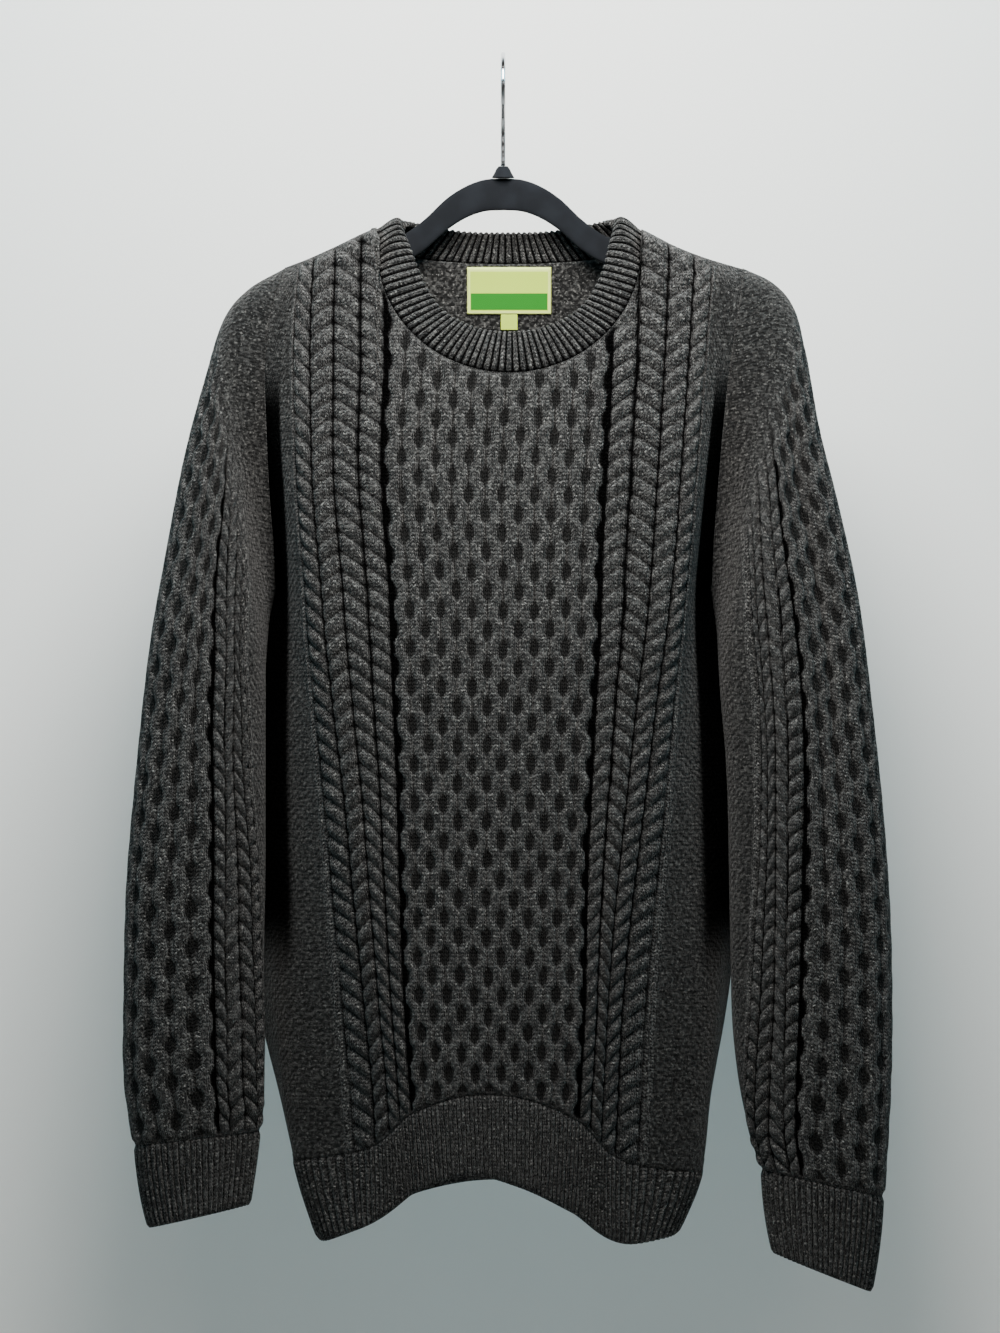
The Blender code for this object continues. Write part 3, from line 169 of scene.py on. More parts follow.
# How far the front stands forward of the hanger's plane on the same lines
FRONT_BULGE = table(
    "drop mid comb cable edge seam",
    (166, 24, 24, 18, 14, 12),
    (176, 27, 26, 22, 19, 17),
    (203, 32, 30, 27, 24, 22),
    (244, 42, 39, 33, 28, 23),
    (292, 49, 46, 39, 31, 18),
    (341, 55, 52, 43, 31, 8),
    (382, 59, 56, 45, 29, 2),
    (419, 62, 59, 46, 26, -17),
    (450, 65, 62, 48, 25, -19),
    (505, 69, 65, 49, 24, -21),
    (583, 73, 69, 51, 24, -24),
    (662, 76, 71, 51, 25, -26),
    (740, 78, 73, 49, 27, -24),
    (819, 78, 72, 46, 28, -18),
    (882, 75, 69, 43, 27, -10),
    (940, 68, 62, 40, 24, -2),
)

# How far the back stands behind the hanger's plane
BACK_BULGE = table(
    "drop mid comb cable edge seam",
    (166, 22, 22, 19, 14, 12),
    (176, 24, 24, 22, 19, 17),
    (203, 28, 28, 27, 26, 25),
    (244, 34, 34, 32, 31, 29),
    (292, 40, 40, 37, 34, 31),
    (341, 46, 46, 42, 37, 32),
    (382, 50, 50, 45, 39, 31),
    (419, 53, 53, 47, 38, 17),
    (450, 55, 54, 48, 39, 19),
    (505, 57, 56, 50, 41, 21),
    (583, 59, 58, 51, 43, 24),
    (662, 60, 58, 51, 44, 26),
    (740, 59, 57, 50, 42, 24),
    (819, 56, 54, 46, 37, 18),
    (882, 51, 49, 41, 30, 10),
    (940, 46, 44, 34, 20, 2),
)

# The shoulder line, from the left shoulder point over the neck to the right one
SHOULDER = table(
    "x drop",
    (-171, 165.5),
    (-154, 159),
    (-136, 151),
    (-99, 134),
    (0, 127),
    (107, 134.5),
    (136, 149),
    (155, 156.5),
    (188, 166.6),
)

# The armhole, by its angle from the underarm round the front to the shoulder point
ARMHOLE = table(
    "angle y x_left x_right",
    (0, 17, -178, 163),
    (22.5, 6, -179, 164),
    (45, -2, -180, 165),
    (67.5, -8, -183, 168),
    (90, -18, -185, 172),
    (112.5, -23, -186, 177),
    (135, -22, -182, 183),
    (157.5, -15, -174, 187),
    (180, 0, -171, 188),
    (202.5, 15, -174, 187),
    (225, 25, -182, 183),
    (247.5, 29, -186, 177),
    (270, 31, -185, 172),
    (292.5, 32, -183, 168),
    (315, 31, -180, 165),
    (337.5, 26, -179, 164),
    (360, 17, -178, 163),
)
ARMHOLE_TOP = 166.0
UNDERARM = 419.0
ARMHOLE_MIDDLE = (ARMHOLE_TOP + UNDERARM) / 2
ARMHOLE_HALF = (UNDERARM - ARMHOLE_TOP) / 2

# Bottom of the knitted panels and of the hem ribs below them, along the cloth
FRONT_HEM = table(
    "s top bottom",
    (-235, 862, 922),
    (-190, 864, 928),
    (-161, 858, 918),
    (-87, 826, 886),
    (-25, 812, 875),
    (25, 814, 884),
    (87, 832, 904),
    (161, 868, 930),
    (190, 874, 926),
    (235, 866, 918),
)
BACK_HEM = table(
    "s top bottom",
    (-235, 862, 922),
    (-161, 850, 912),
    (-87, 832, 893),
    (0, 824, 884),
    (87, 834, 895),
    (161, 854, 914),
    (235, 866, 918),
)

# The neck seam: down from the shoulder at these lines, then half an ellipse
NECK_LINES = (-96.0, 108.3)
NECK_FRONT = (150.0, 99.0)
NECK_BACK = (147.0, 15.0)

# The neckband's free edge, round the front and round the back
NECK_EDGE_FRONT = table(
    "part x y drop",
    (0.00, -82, 0, 127),
    (0.06, -77, -12, 143),
    (0.13, -69, -20, 166),
    (0.22, -56, -26, 192),
    (0.35, -30, -34, 212),
    (0.50, 5, -38, 219),
    (0.65, 40, -34, 212),
    (0.78, 67, -26, 193),
    (0.87, 80, -20, 168),
    (0.94, 86, -12, 144),
    (1.00, 90, 0, 125.5),
)
NECK_EDGE_BACK = table(
    "part x y drop",
    (0.00, 90, 0, 125.5),
    (0.12, 79, 11, 130),
    (0.28, 46, 17, 137),
    (0.50, 4, 20, 139.5),
    (0.72, -38, 17, 137.5),
    (0.88, -70, 11, 131),
    (1.00, -82, 0, 127),
)
NECK_CROWN = (1.5, 7.0)     # how far the band bulges, at the front and back and at the sides
NECK_BLUR = (12, 40, 44)    # columns over which the seam, its directions and the edge soften

# Rings down each sleeve: its outer line, its underarm line, and where it lies front to back
SLEEVE_COLUMNS = "outer_x outer_drop inner_x inner_drop y_mid y_half"
LEFT_SLEEVE = table(
    SLEEVE_COLUMNS,
    (-171, 166, -178, 419, 4, 27),
    (-200, 183, -183, 440, 2, 30),
    (-219, 207, -185, 462, -3, 33),
    (-232, 254, -186, 480, -8, 34),
    (-248, 316, -186, 505, -12, 34),
    (-263, 395, -186, 535, -16, 33),
    (-275, 466, -186, 580, -19, 32),
    (-286, 568, -186, 640, -21, 31),
    (-293, 654, -187, 700, -22, 30),
    (-295, 740, -187, 765, -22, 29),
    (-295, 800, -188, 812, -21, 28),
    (-288, 853, -191, 842, -20, 25),
)
RIGHT_SLEEVE = table(
    SLEEVE_COLUMNS,
    (188, 166, 163, 419, 4, 27),
    (212, 178, 166, 437, 2, 30),
    (228, 198, 168, 457, -3, 33),
    (236, 236, 169, 480, -8, 34),
    (246, 293, 171, 510, -12, 34),
    (262, 358, 174, 545, -16, 33),
    (277, 430, 176, 590, -19, 32),
    (288, 520, 177, 650, -21, 31),
    (297, 610, 178, 705, -22, 30),
    (302, 700, 180, 765, -22, 29),
    (302, 800, 188, 822, -21, 28),
    (297, 893, 203, 872, -20, 25),
)
LEFT_CUFF = table(
    SLEEVE_COLUMNS,
    (-284, 888, -194, 868, -19, 22),
    (-277, 918, -199, 900, -18, 21),
)
RIGHT_CUFF = table(
    SLEEVE_COLUMNS,
    (294, 932, 206, 908, -19, 22),
    (288, 968, 212, 938, -18, 21),
)
SLEEVE_CABLE_EDGE = 121.0
SLEEVE_WELT = 123.5
SLEEVE_UNDERARM = 171.0
SLEEVE_TWIST = 20.0         # degrees that the pattern is turned towards the front
SLEEVE_CAP = (1.6, 3.4)     # from ring to ring, where moss gives way to the pattern
RING_SHAPE = 0.85           # the power that gives a sleeve's section its fuller corners

# The deep crease down the front of the right sleeve
CREASE_AT = 58.0            # cloth from the outer line
CREASE_WIDTH = 10.0
CREASE_DEPTH = 9.0
CREASE_FROM = 2.2           # ring at which it starts
CREASE_TO = 7.6

# The hanger's upper edge and its depth, from the hub to the tip of an arm
HANGER_ARM = table(
    "x top depth",
    (0, 95.5, 25),
    (15, 96.5, 25),
    (29, 101.5, 25),
    (44, 111, 25),
    (62, 128, 24),
    (80, 140.5, 22),
    (100, 145, 22),
    (136, 159, 21),
    (171, 173.5, 19),
    (190, 186, 17),
    (203, 198, 14),
    (210, 208, 8),
)
HANGER_TIP = 5.0            # length of the rounded end of an arm
HANGER_ROUND = 0.55
HUB = table(
    "drop radius",
    (HUB_TOP, 3.4),
    (86.3, 4.0),
    (87, 4.3),
    (88, 5.3),
    (90, 6.2),
    (92, 7.2),
    (94, 8.4),
    (95, 8.9),
    (95.2, 8.6),
)
HOOK_ARC = (-12.0, 228.0)   # degrees from the hook's open end over the rail to the bend
HOOK_BEND = 26.0            # how hard the bend pulls at both its ends
HOOK_STRAIGHT = 66.0        # drop below which only straight wire is left


class Side(Enum):
    """Which of the two body panels a piece belongs to, as the sign of its outward Y."""

    FRONT = -1
    BACK = 1


HEMS = {Side.FRONT: FRONT_HEM, Side.BACK: BACK_HEM}
SIDE_PAINTED_SHADE = {Side.FRONT: 1.0, Side.BACK: 0.35}     # how strong the painted shade on the cloth behind the sleeves is


class Hand(Enum):
    """Which sleeve a piece belongs to, as the sign of its X."""

    LEFT = -1
    RIGHT = 1


def cubic(at: np.ndarray, knots: np.ndarray, values: np.ndarray) -> np.ndarray:
    """Read a smooth curve through the values at rising knots, level beyond the ends.

    Each step between two knots is a cubic whose slopes come from the neighbouring knots.

    Args:
        at: Where to read the curve.
        knots: Rising places of the values.
        values: The values, with a second axis if each point of at has a curve of its own.

    Returns:
        One value for each point of at.
    """
    at = np.asarray(at, float)
    slopes = np.gradient(values, knots, axis=0)
    inside = np.clip(at, knots[0], knots[-1])
    i = np.clip(np.searchsorted(knots, inside) - 1, 0, len(knots) - 2)
    span = knots[i + 1] - knots[i]
    f = (inside - knots[i]) / span
    if values.ndim > 1:
        own = tuple(np.indices(at.shape))
        before, after = values[(i, *own)], values[(i + 1, *own)]
        slope_before, slope_after = slopes[(i, *own)], slopes[(i + 1, *own)]
    else:
        before, after = values[i], values[i + 1]
        slope_before, slope_after = slopes[i], slopes[i + 1]
    return (
        (1 + 2 * f) * (1 - f) ** 2 * before
        + f * (1 - f) ** 2 * span * slope_before
        + f * f * (3 - 2 * f) * after
        + f * f * (f - 1) * span * slope_after
    )


def ease(value: np.ndarray) -> np.ndarray:
    """Turn 0 to 1 into a smooth step.

    Args:
        value: What to turn, clipped to 0 and 1.

    Returns:
        The smooth step.
    """
    value = np.clip(value, 0.0, 1.0)
    return value * value * (3 - 2 * value)


def rise(value: np.ndarray, low: float, high: float) -> np.ndarray:
    """Rise smoothly from 0 to 1.

    Args:
        value: What is read.
        low: Where it starts to rise.
        high: Where it is up.

    Returns:
        The risen value.
    """
    return ease((value - low) / (high - low))


def unit(vectors: np.ndarray) -> np.ndarray:
    """Scale vectors to length one.

    Args:
        vectors: Vectors along the last axis.

    Returns:
        The same directions with length one.
    """
    length = np.linalg.norm(vectors, axis=-1, keepdims=True)
    return vectors / np.maximum(length, 1e-9)


def way_along(points: np.ndarray) -> np.ndarray:
    """Measure the way along a line of points.

    Args:
        points: The points in order.

    Returns:
        The length from the first point to each of them.
    """
    steps = np.linalg.norm(np.diff(points, axis=0), axis=1)
    return np.concatenate([[0.0], np.cumsum(steps)])


def signed_power(values: np.ndarray, power: float) -> np.ndarray:
    """Raise values to a power and keep their signs.

    Args:
        values: Sines or cosines.
        power: The power, which makes a circle's corners fuller if it is below 1.

    Returns:
        The raised values.
    """
    return np.sign(values) * np.abs(values) ** power


LINES = np.array([-SIDE_SEAM, -SIDE_EDGE, -CABLE_EDGE, -COMB_EDGE, 0.0,
                  COMB_EDGE, CABLE_EDGE, SIDE_EDGE, SIDE_SEAM])
LEFT_LINES = ("seam_l", "edge_l", "cable_l", "comb_l")
RIGHT_LINES = ("comb_r", "cable_r", "edge_r", "seam_r")
BULGE_LINES = ("seam", "edge", "cable", "comb", "mid", "comb", "cable", "edge", "seam")


def panel_x(s: np.ndarray, drop: np.ndarray) -> np.ndarray:
    """Place points of the body's cloth across it.

    Args:
        s: Cloth from the centre line.
        drop: Drop of each point, of the same shape.

    Returns:
        The X of each point.
    """
    left = [cubic(drop, ACROSS["drop"], ACROSS[name]) for name in LEFT_LINES]
    right = [cubic(drop, ACROSS["drop"], ACROSS[name]) for name in RIGHT_LINES]
    middle = (left[-1] + right[0]) / 2
    return cubic(s, LINES, np.stack(left + [middle] + right))


def panel_point(side: Side, s: np.ndarray, drop: np.ndarray) -> np.ndarray:
    """Place points of a panel's mean outer skin.

    The cloth bulges by the panel's table, and near the shoulder line the bulge shrinks as a
    quarter circle does, so that front and back meet.

    Args:
        side: Which panel.
        s: Cloth from the centre line.
        drop: Drop of each point.

    Returns:
        Points along a new last axis.
    """
    s, drop = np.broadcast_arrays(np.asarray(s, float), np.asarray(drop, float))
    bulges = FRONT_BULGE if side is Side.FRONT else BACK_BULGE
    x = panel_x(s, drop)
    rows = [cubic(drop, bulges["drop"], bulges[name]) for name in BULGE_LINES]
    bulge = cubic(s, LINES, np.stack(rows))
    below = drop - cubic(x, SHOULDER["x"], SHOULDER["drop"])
    turn = np.sqrt(1 - (1 - np.clip(below / RIDGE_ROUND, 0, 1)) ** 2)
    away = np.where(bulge > 0, bulge * turn, bulge)
    return np.stack([x, side.value * away, -drop], axis=-1)


def panel_normal(side: Side, s: np.ndarray, drop: np.ndarray) -> np.ndarray:
    """Point out of a panel, worked out from neighbours 1 mm away.

    Args:
        side: Which panel.
        s: Cloth from the centre line.
        drop: Drop of each point.

    Returns:
        Unit vectors along a new last axis.
    """
    low = np.clip(s - 1.0, -SIDE_SEAM, SIDE_SEAM)
    high = np.clip(s + 1.0, -SIDE_SEAM, SIDE_SEAM)
    across = panel_point(side, high, drop) - panel_point(side, low, drop)
    down = panel_point(side, s, drop + 1.0) - panel_point(side, s, drop)
    return unit(np.cross(across, down) * side.value)


def panel_top(side: Side, s: np.ndarray) -> np.ndarray:
    """Find the drop at which lines of the cloth meet the shoulder or the neck.

    Args:
        side: Which panel.
        s: Cloth from the centre line.

    Returns:
        One drop for each line.
    """
    start, depth = NECK_FRONT if side is Side.FRONT else NECK_BACK
    ends = panel_x(np.array(NECK_LINES), np.full(2, start))
    in_neck = (s > NECK_LINES[0]) & (s < NECK_LINES[1])
    drop = np.full(s.shape, start)
    for _ in range(30):
        x = panel_x(s, drop)
        part = np.clip((x - ends.mean()) / (ends[1] - ends[0]) * 2, -1, 1)
        neck = start + depth * np.sqrt(1 - part ** 2)
        shoulder = cubic(x, SHOULDER["x"], SHOULDER["drop"])
        drop = 0.5 * drop + 0.5 * np.where(in_neck, neck, shoulder)
    return drop


def armhole_point(hand: Hand, angle: np.ndarray) -> np.ndarray:
    """Place points of an armhole.

    Args:
        hand: Which sleeve it is for.
        angle: Degrees from the underarm round the front to the shoulder point and on.

    Returns:
        Points along a new last axis.
    """
    angle = np.mod(angle, 360.0)
    y = cubic(angle, ARMHOLE["angle"], ARMHOLE["y"])
    x = cubic(angle, ARMHOLE["angle"], ARMHOLE["x_left" if hand is Hand.LEFT else "x_right"])
    drop = ARMHOLE_MIDDLE + ARMHOLE_HALF * np.cos(np.radians(angle))
    return np.stack([x, y, -drop], axis=-1)


def sleeve_ring(rings: dict[str, np.ndarray], angle: np.ndarray, ring: np.ndarray) -> np.ndarray:
    """Place points of a sleeve or cuff, each ring being a flattened circle with fuller corners.

    Args:
        rings: The table of rings.
        angle: Degrees from the underarm round the front.
        ring: Ring number, which may lie between two rings.

    Returns:
        Points along a new last axis.
    """
    knots = np.arange(len(rings["y_mid"]), dtype=float)
    row = {name: cubic(ring, knots, values) for name, values in rings.items()}
    turn = np.radians(angle)
    along = signed_power(np.cos(turn), RING_SHAPE)
    toward = signed_power(np.sin(turn), RING_SHAPE)
    x = (row["outer_x"] + row["inner_x"]) / 2 - along * (row["outer_x"] - row["inner_x"]) / 2
    drop = ((row["outer_drop"] + row["inner_drop"]) / 2
            - along * (row["outer_drop"] - row["inner_drop"]) / 2)
    y = row["y_mid"] - toward * row["y_half"]
    return np.stack([x, y, -drop], axis=-1)


@dataclass
class SleeveCloth:
    """Where the lines of a sleeve's cloth lie, measured round a ladder of its rings."""

    rings: dict[str, np.ndarray]
    hand: Hand
    last: float = field(init=False)
    ladder: np.ndarray = field(init=False)
    crease_line: np.ndarray = field(init=False)

    STEPS = 10

    def __post_init__(self) -> None:
        """Measure the cloth round each rung of the ladder from the sleeve's outer line."""
        self.last = len(self.rings["y_mid"]) - 1.0
        self.ladder = np.linspace(0, self.last, round(self.STEPS * self.last) + 1)
        self.angles = np.linspace(0, 360, 361)
        grid = self.point(self.angles[None, :], self.ladder[:, None])
        steps = np.linalg.norm(np.diff(grid, axis=1), axis=2)
        length = np.concatenate([np.zeros((len(grid), 1)), np.cumsum(steps, axis=1)], axis=1)
        self.q = length[:, 180:181] - length
        half = np.minimum(self.q[:, 0], -self.q[:, -1])
        self.squeeze = np.minimum(1.0, (half - 9.0) / SLEEVE_CABLE_EDGE)
        self.crease_line = self.rung_angles(np.array([CREASE_AT]))[:, 0]

    def point(self, angle: np.ndarray, ring: np.ndarray) -> np.ndarray:
        """Place points of the sleeve, which starts at its armhole and hangs from there.

        Args:
            angle: Degrees from the underarm round the front.
            ring: Ring number.

        Returns:
            Points along a new last axis.
        """
        angle, ring = np.broadcast_arrays(np.asarray(angle, float), np.asarray(ring, float))
        start = armhole_point(self.hand, angle) + np.array([self.hand.value * SEAM_GAP, 0.0, 0.0])
        hang = sleeve_ring(self.rings, angle, ring)
        first = sleeve_ring(self.rings, angle, np.zeros(ring.shape))
        keep = (1 - ease(ring / 4.0))[..., None]
        return hang + (start - first) * keep

    def rung_angles(self, lines: np.ndarray) -> np.ndarray:
        """Find the angles of lines of the cloth on every rung.

        Lines in the cables are found by their cloth from the outer line. Beyond the cables the
        rest of the way to the underarm is shared out.

        Args:
            lines: Cloth from the outer line, positive round the front.

        Returns:
            Angles by rung and line.
        """
        edge = np.clip(lines, -SLEEVE_CABLE_EDGE, SLEEVE_CABLE_EDGE)
        over = np.abs(lines - edge) / (SLEEVE_UNDERARM - SLEEVE_CABLE_EDGE)
        seam = np.where(lines > 0, 0.0, 360.0)
        rungs = []
        for q, squeeze in zip(self.q, self.squeeze):
            at_edge = np.interp(-edge * squeeze, -q, self.angles)
            rungs.append(at_edge + (seam - at_edge) * over)
        return np.array(rungs)

    def skin(self, angle: np.ndarray, ring: np.ndarray) -> np.ndarray:
        """Place the sleeve's outer skin, with the crease that the right one has.

        Args:
            angle: Degrees from the underarm round the front.
            ring: Ring number.

        Returns:
            Points along a new last axis.
        """
        angle, ring = np.broadcast_arrays(np.asarray(angle, float), np.asarray(ring, float))
        points = self.point(angle, ring)
        if self.hand is Hand.LEFT:
            return points
        across = (angle - np.interp(ring, self.ladder, self.crease_line)) / 360.0 * 300.0
        along = np.clip((ring - CREASE_FROM) / (CREASE_TO - CREASE_FROM), 0, 1)
        depth = CREASE_DEPTH * np.exp(-(across / CREASE_WIDTH) ** 2) * np.sin(np.pi * along)
        return points + depth[..., None] * np.array([0.0, 1.0, 0.0])


@dataclass(frozen=True)
class Cable:
    """A cable of slanted strands between two channels."""

    inner: float        # its edge nearer the centre line
    outer: float
    lean: float         # 1 where the strands drop away from the centre line, -1 towards it
    start: float = 0.0  # how far its strands are shifted down

    def relief(self, across: np.ndarray, down: np.ndarray) -> np.ndarray:
        """Work out the cable's height.

        Across it the height follows half an ellipse. Along it each strand is the upper part of a
        sine between two grooves, which lie on slanted lines.

        Args:
            across: Cloth from the centre line, positive on the cable's side.
            down: Place along the cloth.

        Returns:
            Millimetres above the channels.
        """
        middle, half = (self.inner + self.outer) / 2, (self.outer - self.inner) / 2 - 0.5
        place = (across - middle) / half
        dome = np.clip(1 - place ** 2, 0, 1) ** CABLE_ROUND
        turn = (down - self.start - self.lean * STRAND_SLOPE * (across - middle)) / STRAND_PITCH
        strand = np.abs(np.sin(np.pi * turn)) ** STRAND_ROUND
        return STRAND_HEIGHT * dome * (STRAND_GROOVE + (1 - STRAND_GROOVE) * strand)


def wandered(across: np.ndarray, down: np.ndarray) -> tuple[np.ndarray, np.ndarray]:
    """Shift places on the cloth a little to and fro, as hand knitting wanders.

    Args:
        across: Cloth from the centre line.
        down: Place along the cloth.

    Returns:
        The shifted places across and down.
    """
    shifts = [
        sum(size * np.sin(down / way_down + across / way_across)
            for size, way_down, way_across in waves)
        for waves in (WANDER_ACROSS, WANDER_DOWN)
    ]
    return across + shifts[0], down + shifts[1]


@dataclass(frozen=True)
class Pattern:
    """The stitches across a knitted piece: honeycomb, cables, a welt and moss beyond them."""

    cords: int                      # how many cords the honeycomb has
    left: tuple[Cable, ...]
    right: tuple[Cable, ...]
    cable_edge: float
    welt: float

    def relief(self, across: np.ndarray, down: np.ndarray) -> np.ndarray:
        """Work out the height of the stitches.

        Args:
            across: Cloth from the centre line.
            down: Place along the cloth.

        Returns:
            Millimetres above the bottom of the channels.
        """
        across, down = wandered(across, down)
        away = np.abs(across)
        height = FLAT * rise(away, self.cable_edge - 1.0, self.cable_edge + 2.0)
        height = np.maximum(height, self.comb(across, down))
        for sign, cables in ((-1, self.left), (1, self.right)):
            for cable in cables:
                height = np.maximum(height, cable.relief(sign * across, down))
        return height + WELT_HEIGHT * np.exp(-((away - self.welt) / WELT_HALF) ** 2)

    def moss(self, across: np.ndarray) -> np.ndarray:
        """Find where the cloth beyond the welts is in moss stitch.

        Args:
            across: Cloth from the centre line.

        Returns:
            0 to 1, the share of moss.
        """
        return rise(np.abs(across), self.welt + MOSS_FROM, self.welt + MOSS_FULL)

    def comb(self, across: np.ndarray, down: np.ndarray) -> np.ndarray:
        """Work out the honeycomb: cords that meet one neighbour and then the other in turn.

        Each cord swings about its line by a cosine that is cut flat, odd and even cords in
        opposite ways, and its section is part of a circle square to its run.

        Args:
            across: Cloth from the centre line.
            down: Place along the cloth.

        Returns:
            Millimetres above the bottom of a cell.
        """
        turn = 2 * np.pi * down / CELL_PERIOD
        wave = CORD_SNAP * np.cos(turn)
        opened = rise(np.abs(down), *CORD_OPENS)
        reach = CORD_SWING[0] + (CORD_SWING[1] - CORD_SWING[0]) * opened
        half = CORD_HALF[0] + (CORD_HALF[1] - CORD_HALF[0]) * opened
        swing = reach * np.clip(wave, -1, 1)
        slope = reach * CORD_SNAP * 2 * np.pi / CELL_PERIOD * np.sin(turn)
        slope = np.where(np.abs(wave) < 1, slope, 0.0)
        half = half * np.sqrt(1 + slope ** 2)
        height = np.zeros(np.broadcast(across, down).shape)
        for cord in range(self.cords):
            sign = -1 if cord % 2 else 1
            line = (cord - (self.cords - 1) / 2) * CELL_WIDTH
            place = (across - line - sign * swing) / half
            crest = np.clip(1 - place ** 2, 0, 1) ** CORD_ROUND
            height = np.maximum(height, CORD_HEIGHT * crest)
        edge = self.cords * CELL_WIDTH / 2 - 1.0
        return np.maximum(height, CELL_FLOOR * rise(np.abs(across), edge, edge - 2.0))


BODY_PATTERN = Pattern(
    cords=13,
    left=(Cable(90.0, 106.5, -1), Cable(107.5, 125.5, -1, 4.0), Cable(125.5, 143.5, 1, 4.0),
          Cable(143.5, 161.0, -1)),
    right=(Cable(90.0, 106.5, -1), Cable(107.5, 125.5, 1, 4.0), Cable(125.5, 143.5, -1, 4.0),
           Cable(143.5, 161.0, -1)),
    cable_edge=CABLE_EDGE,
    welt=WELT,
)
SLEEVE_CABLES = (Cable(62.0, 76.0, 1), Cable(76.0, 92.5, -1, 4.0), Cable(92.5, 109.0, 1, 4.0),
                 Cable(109.0, 121.0, -1))
SLEEVE_PATTERN = Pattern(9, SLEEVE_CABLES, SLEEVE_CABLES, SLEEVE_CABLE_EDGE, SLEEVE_WELT)


def net_quads(numbers: np.ndarray, flip: bool) -> np.ndarray:
    """List the faces of a net of points.

    Args:
        numbers: Point numbers by row and column.
        flip: Whether the faces turn the other way.

    Returns:
        Four point numbers for each face.
    """
    corners = [numbers[:-1, :-1], numbers[1:, :-1], numbers[1:, 1:], numbers[:-1, 1:]]
    quads = np.stack(corners, axis=-1).reshape(-1, 4)
    return quads[:, ::-1] if flip else quads


def rim_triangles(fine: np.ndarray, coarse: np.ndarray, flip: bool) -> np.ndarray:
    """Fill between a fine line and a coarse one that has one cell for each STRIDE fine ones.

    Args:
        fine: Point numbers of the fine line.
        coarse: Point numbers of the coarse line.
        flip: Whether the faces turn the other way.

    Returns:
        Three point numbers for each face.
    """
    step = np.arange(len(fine) - 1)
    cell = step // STRIDE + (step % STRIDE >= STRIDE // 2)
    fan = np.stack([fine[step], fine[step + 1], coarse[cell]], axis=-1)
    middle = np.arange(len(coarse) - 1) * STRIDE + STRIDE // 2
    bridge = np.stack([fine[middle], coarse[1:], coarse[:-1]], axis=-1)
    faces = np.concatenate([fan, bridge])
    return faces[:, ::-1] if flip else faces


def closed_columns(numbers: np.ndarray) -> np.ndarray:
    """Repeat the first column after the last, so that a net closes round a tube.

    Args:
        numbers: Anything by row and column.

    Returns:
        The same with one more column.
    """
    return np.concatenate([numbers, numbers[:, :1]], axis=1)


def make_mesh(
    name: str,
    points: np.ndarray,
    faces: list[np.ndarray],
    corners: list[np.ndarray],
    places: np.ndarray,
    features: dict[str, np.ndarray],
    material: bpy.types.Material,
) -> bpy.types.Object:
    """Make a smooth mesh object at the origin, with a UV map in metres.

    Args:
        name: The object's name.
        points: Places in millimetres.
        faces: Arrays of point numbers, one array for each number of corners.
        corners: For each array of faces, the numbers of its corners in places.
        places: Places across and down the cloth, in millimetres.
        features: Point attributes by name.
        material: The finish.

    Returns:
        The new object.
    """
    mesh = bpy.data.meshes.new(name)
    mesh.from_pydata((points * MM).tolist(), [], [face for group in faces for face in group.tolist()])
    mesh.polygons.foreach_set("use_smooth", np.ones(len(mesh.polygons), bool))
    layer = mesh.uv_layers.new(name="cloth")
    flat = np.concatenate([group.ravel() for group in corners])
    layer.data.foreach_set("uv", (places[flat] * MM).ravel())
    for feature, values in features.items():
        attribute = mesh.attributes.new(feature, "FLOAT", "POINT")
        attribute.data.foreach_set("value", values.ravel())
    mesh.materials.append(material)
    thing = bpy.data.objects.new(name, mesh)
    bpy.context.scene.collection.objects.link(thing)
    return thing


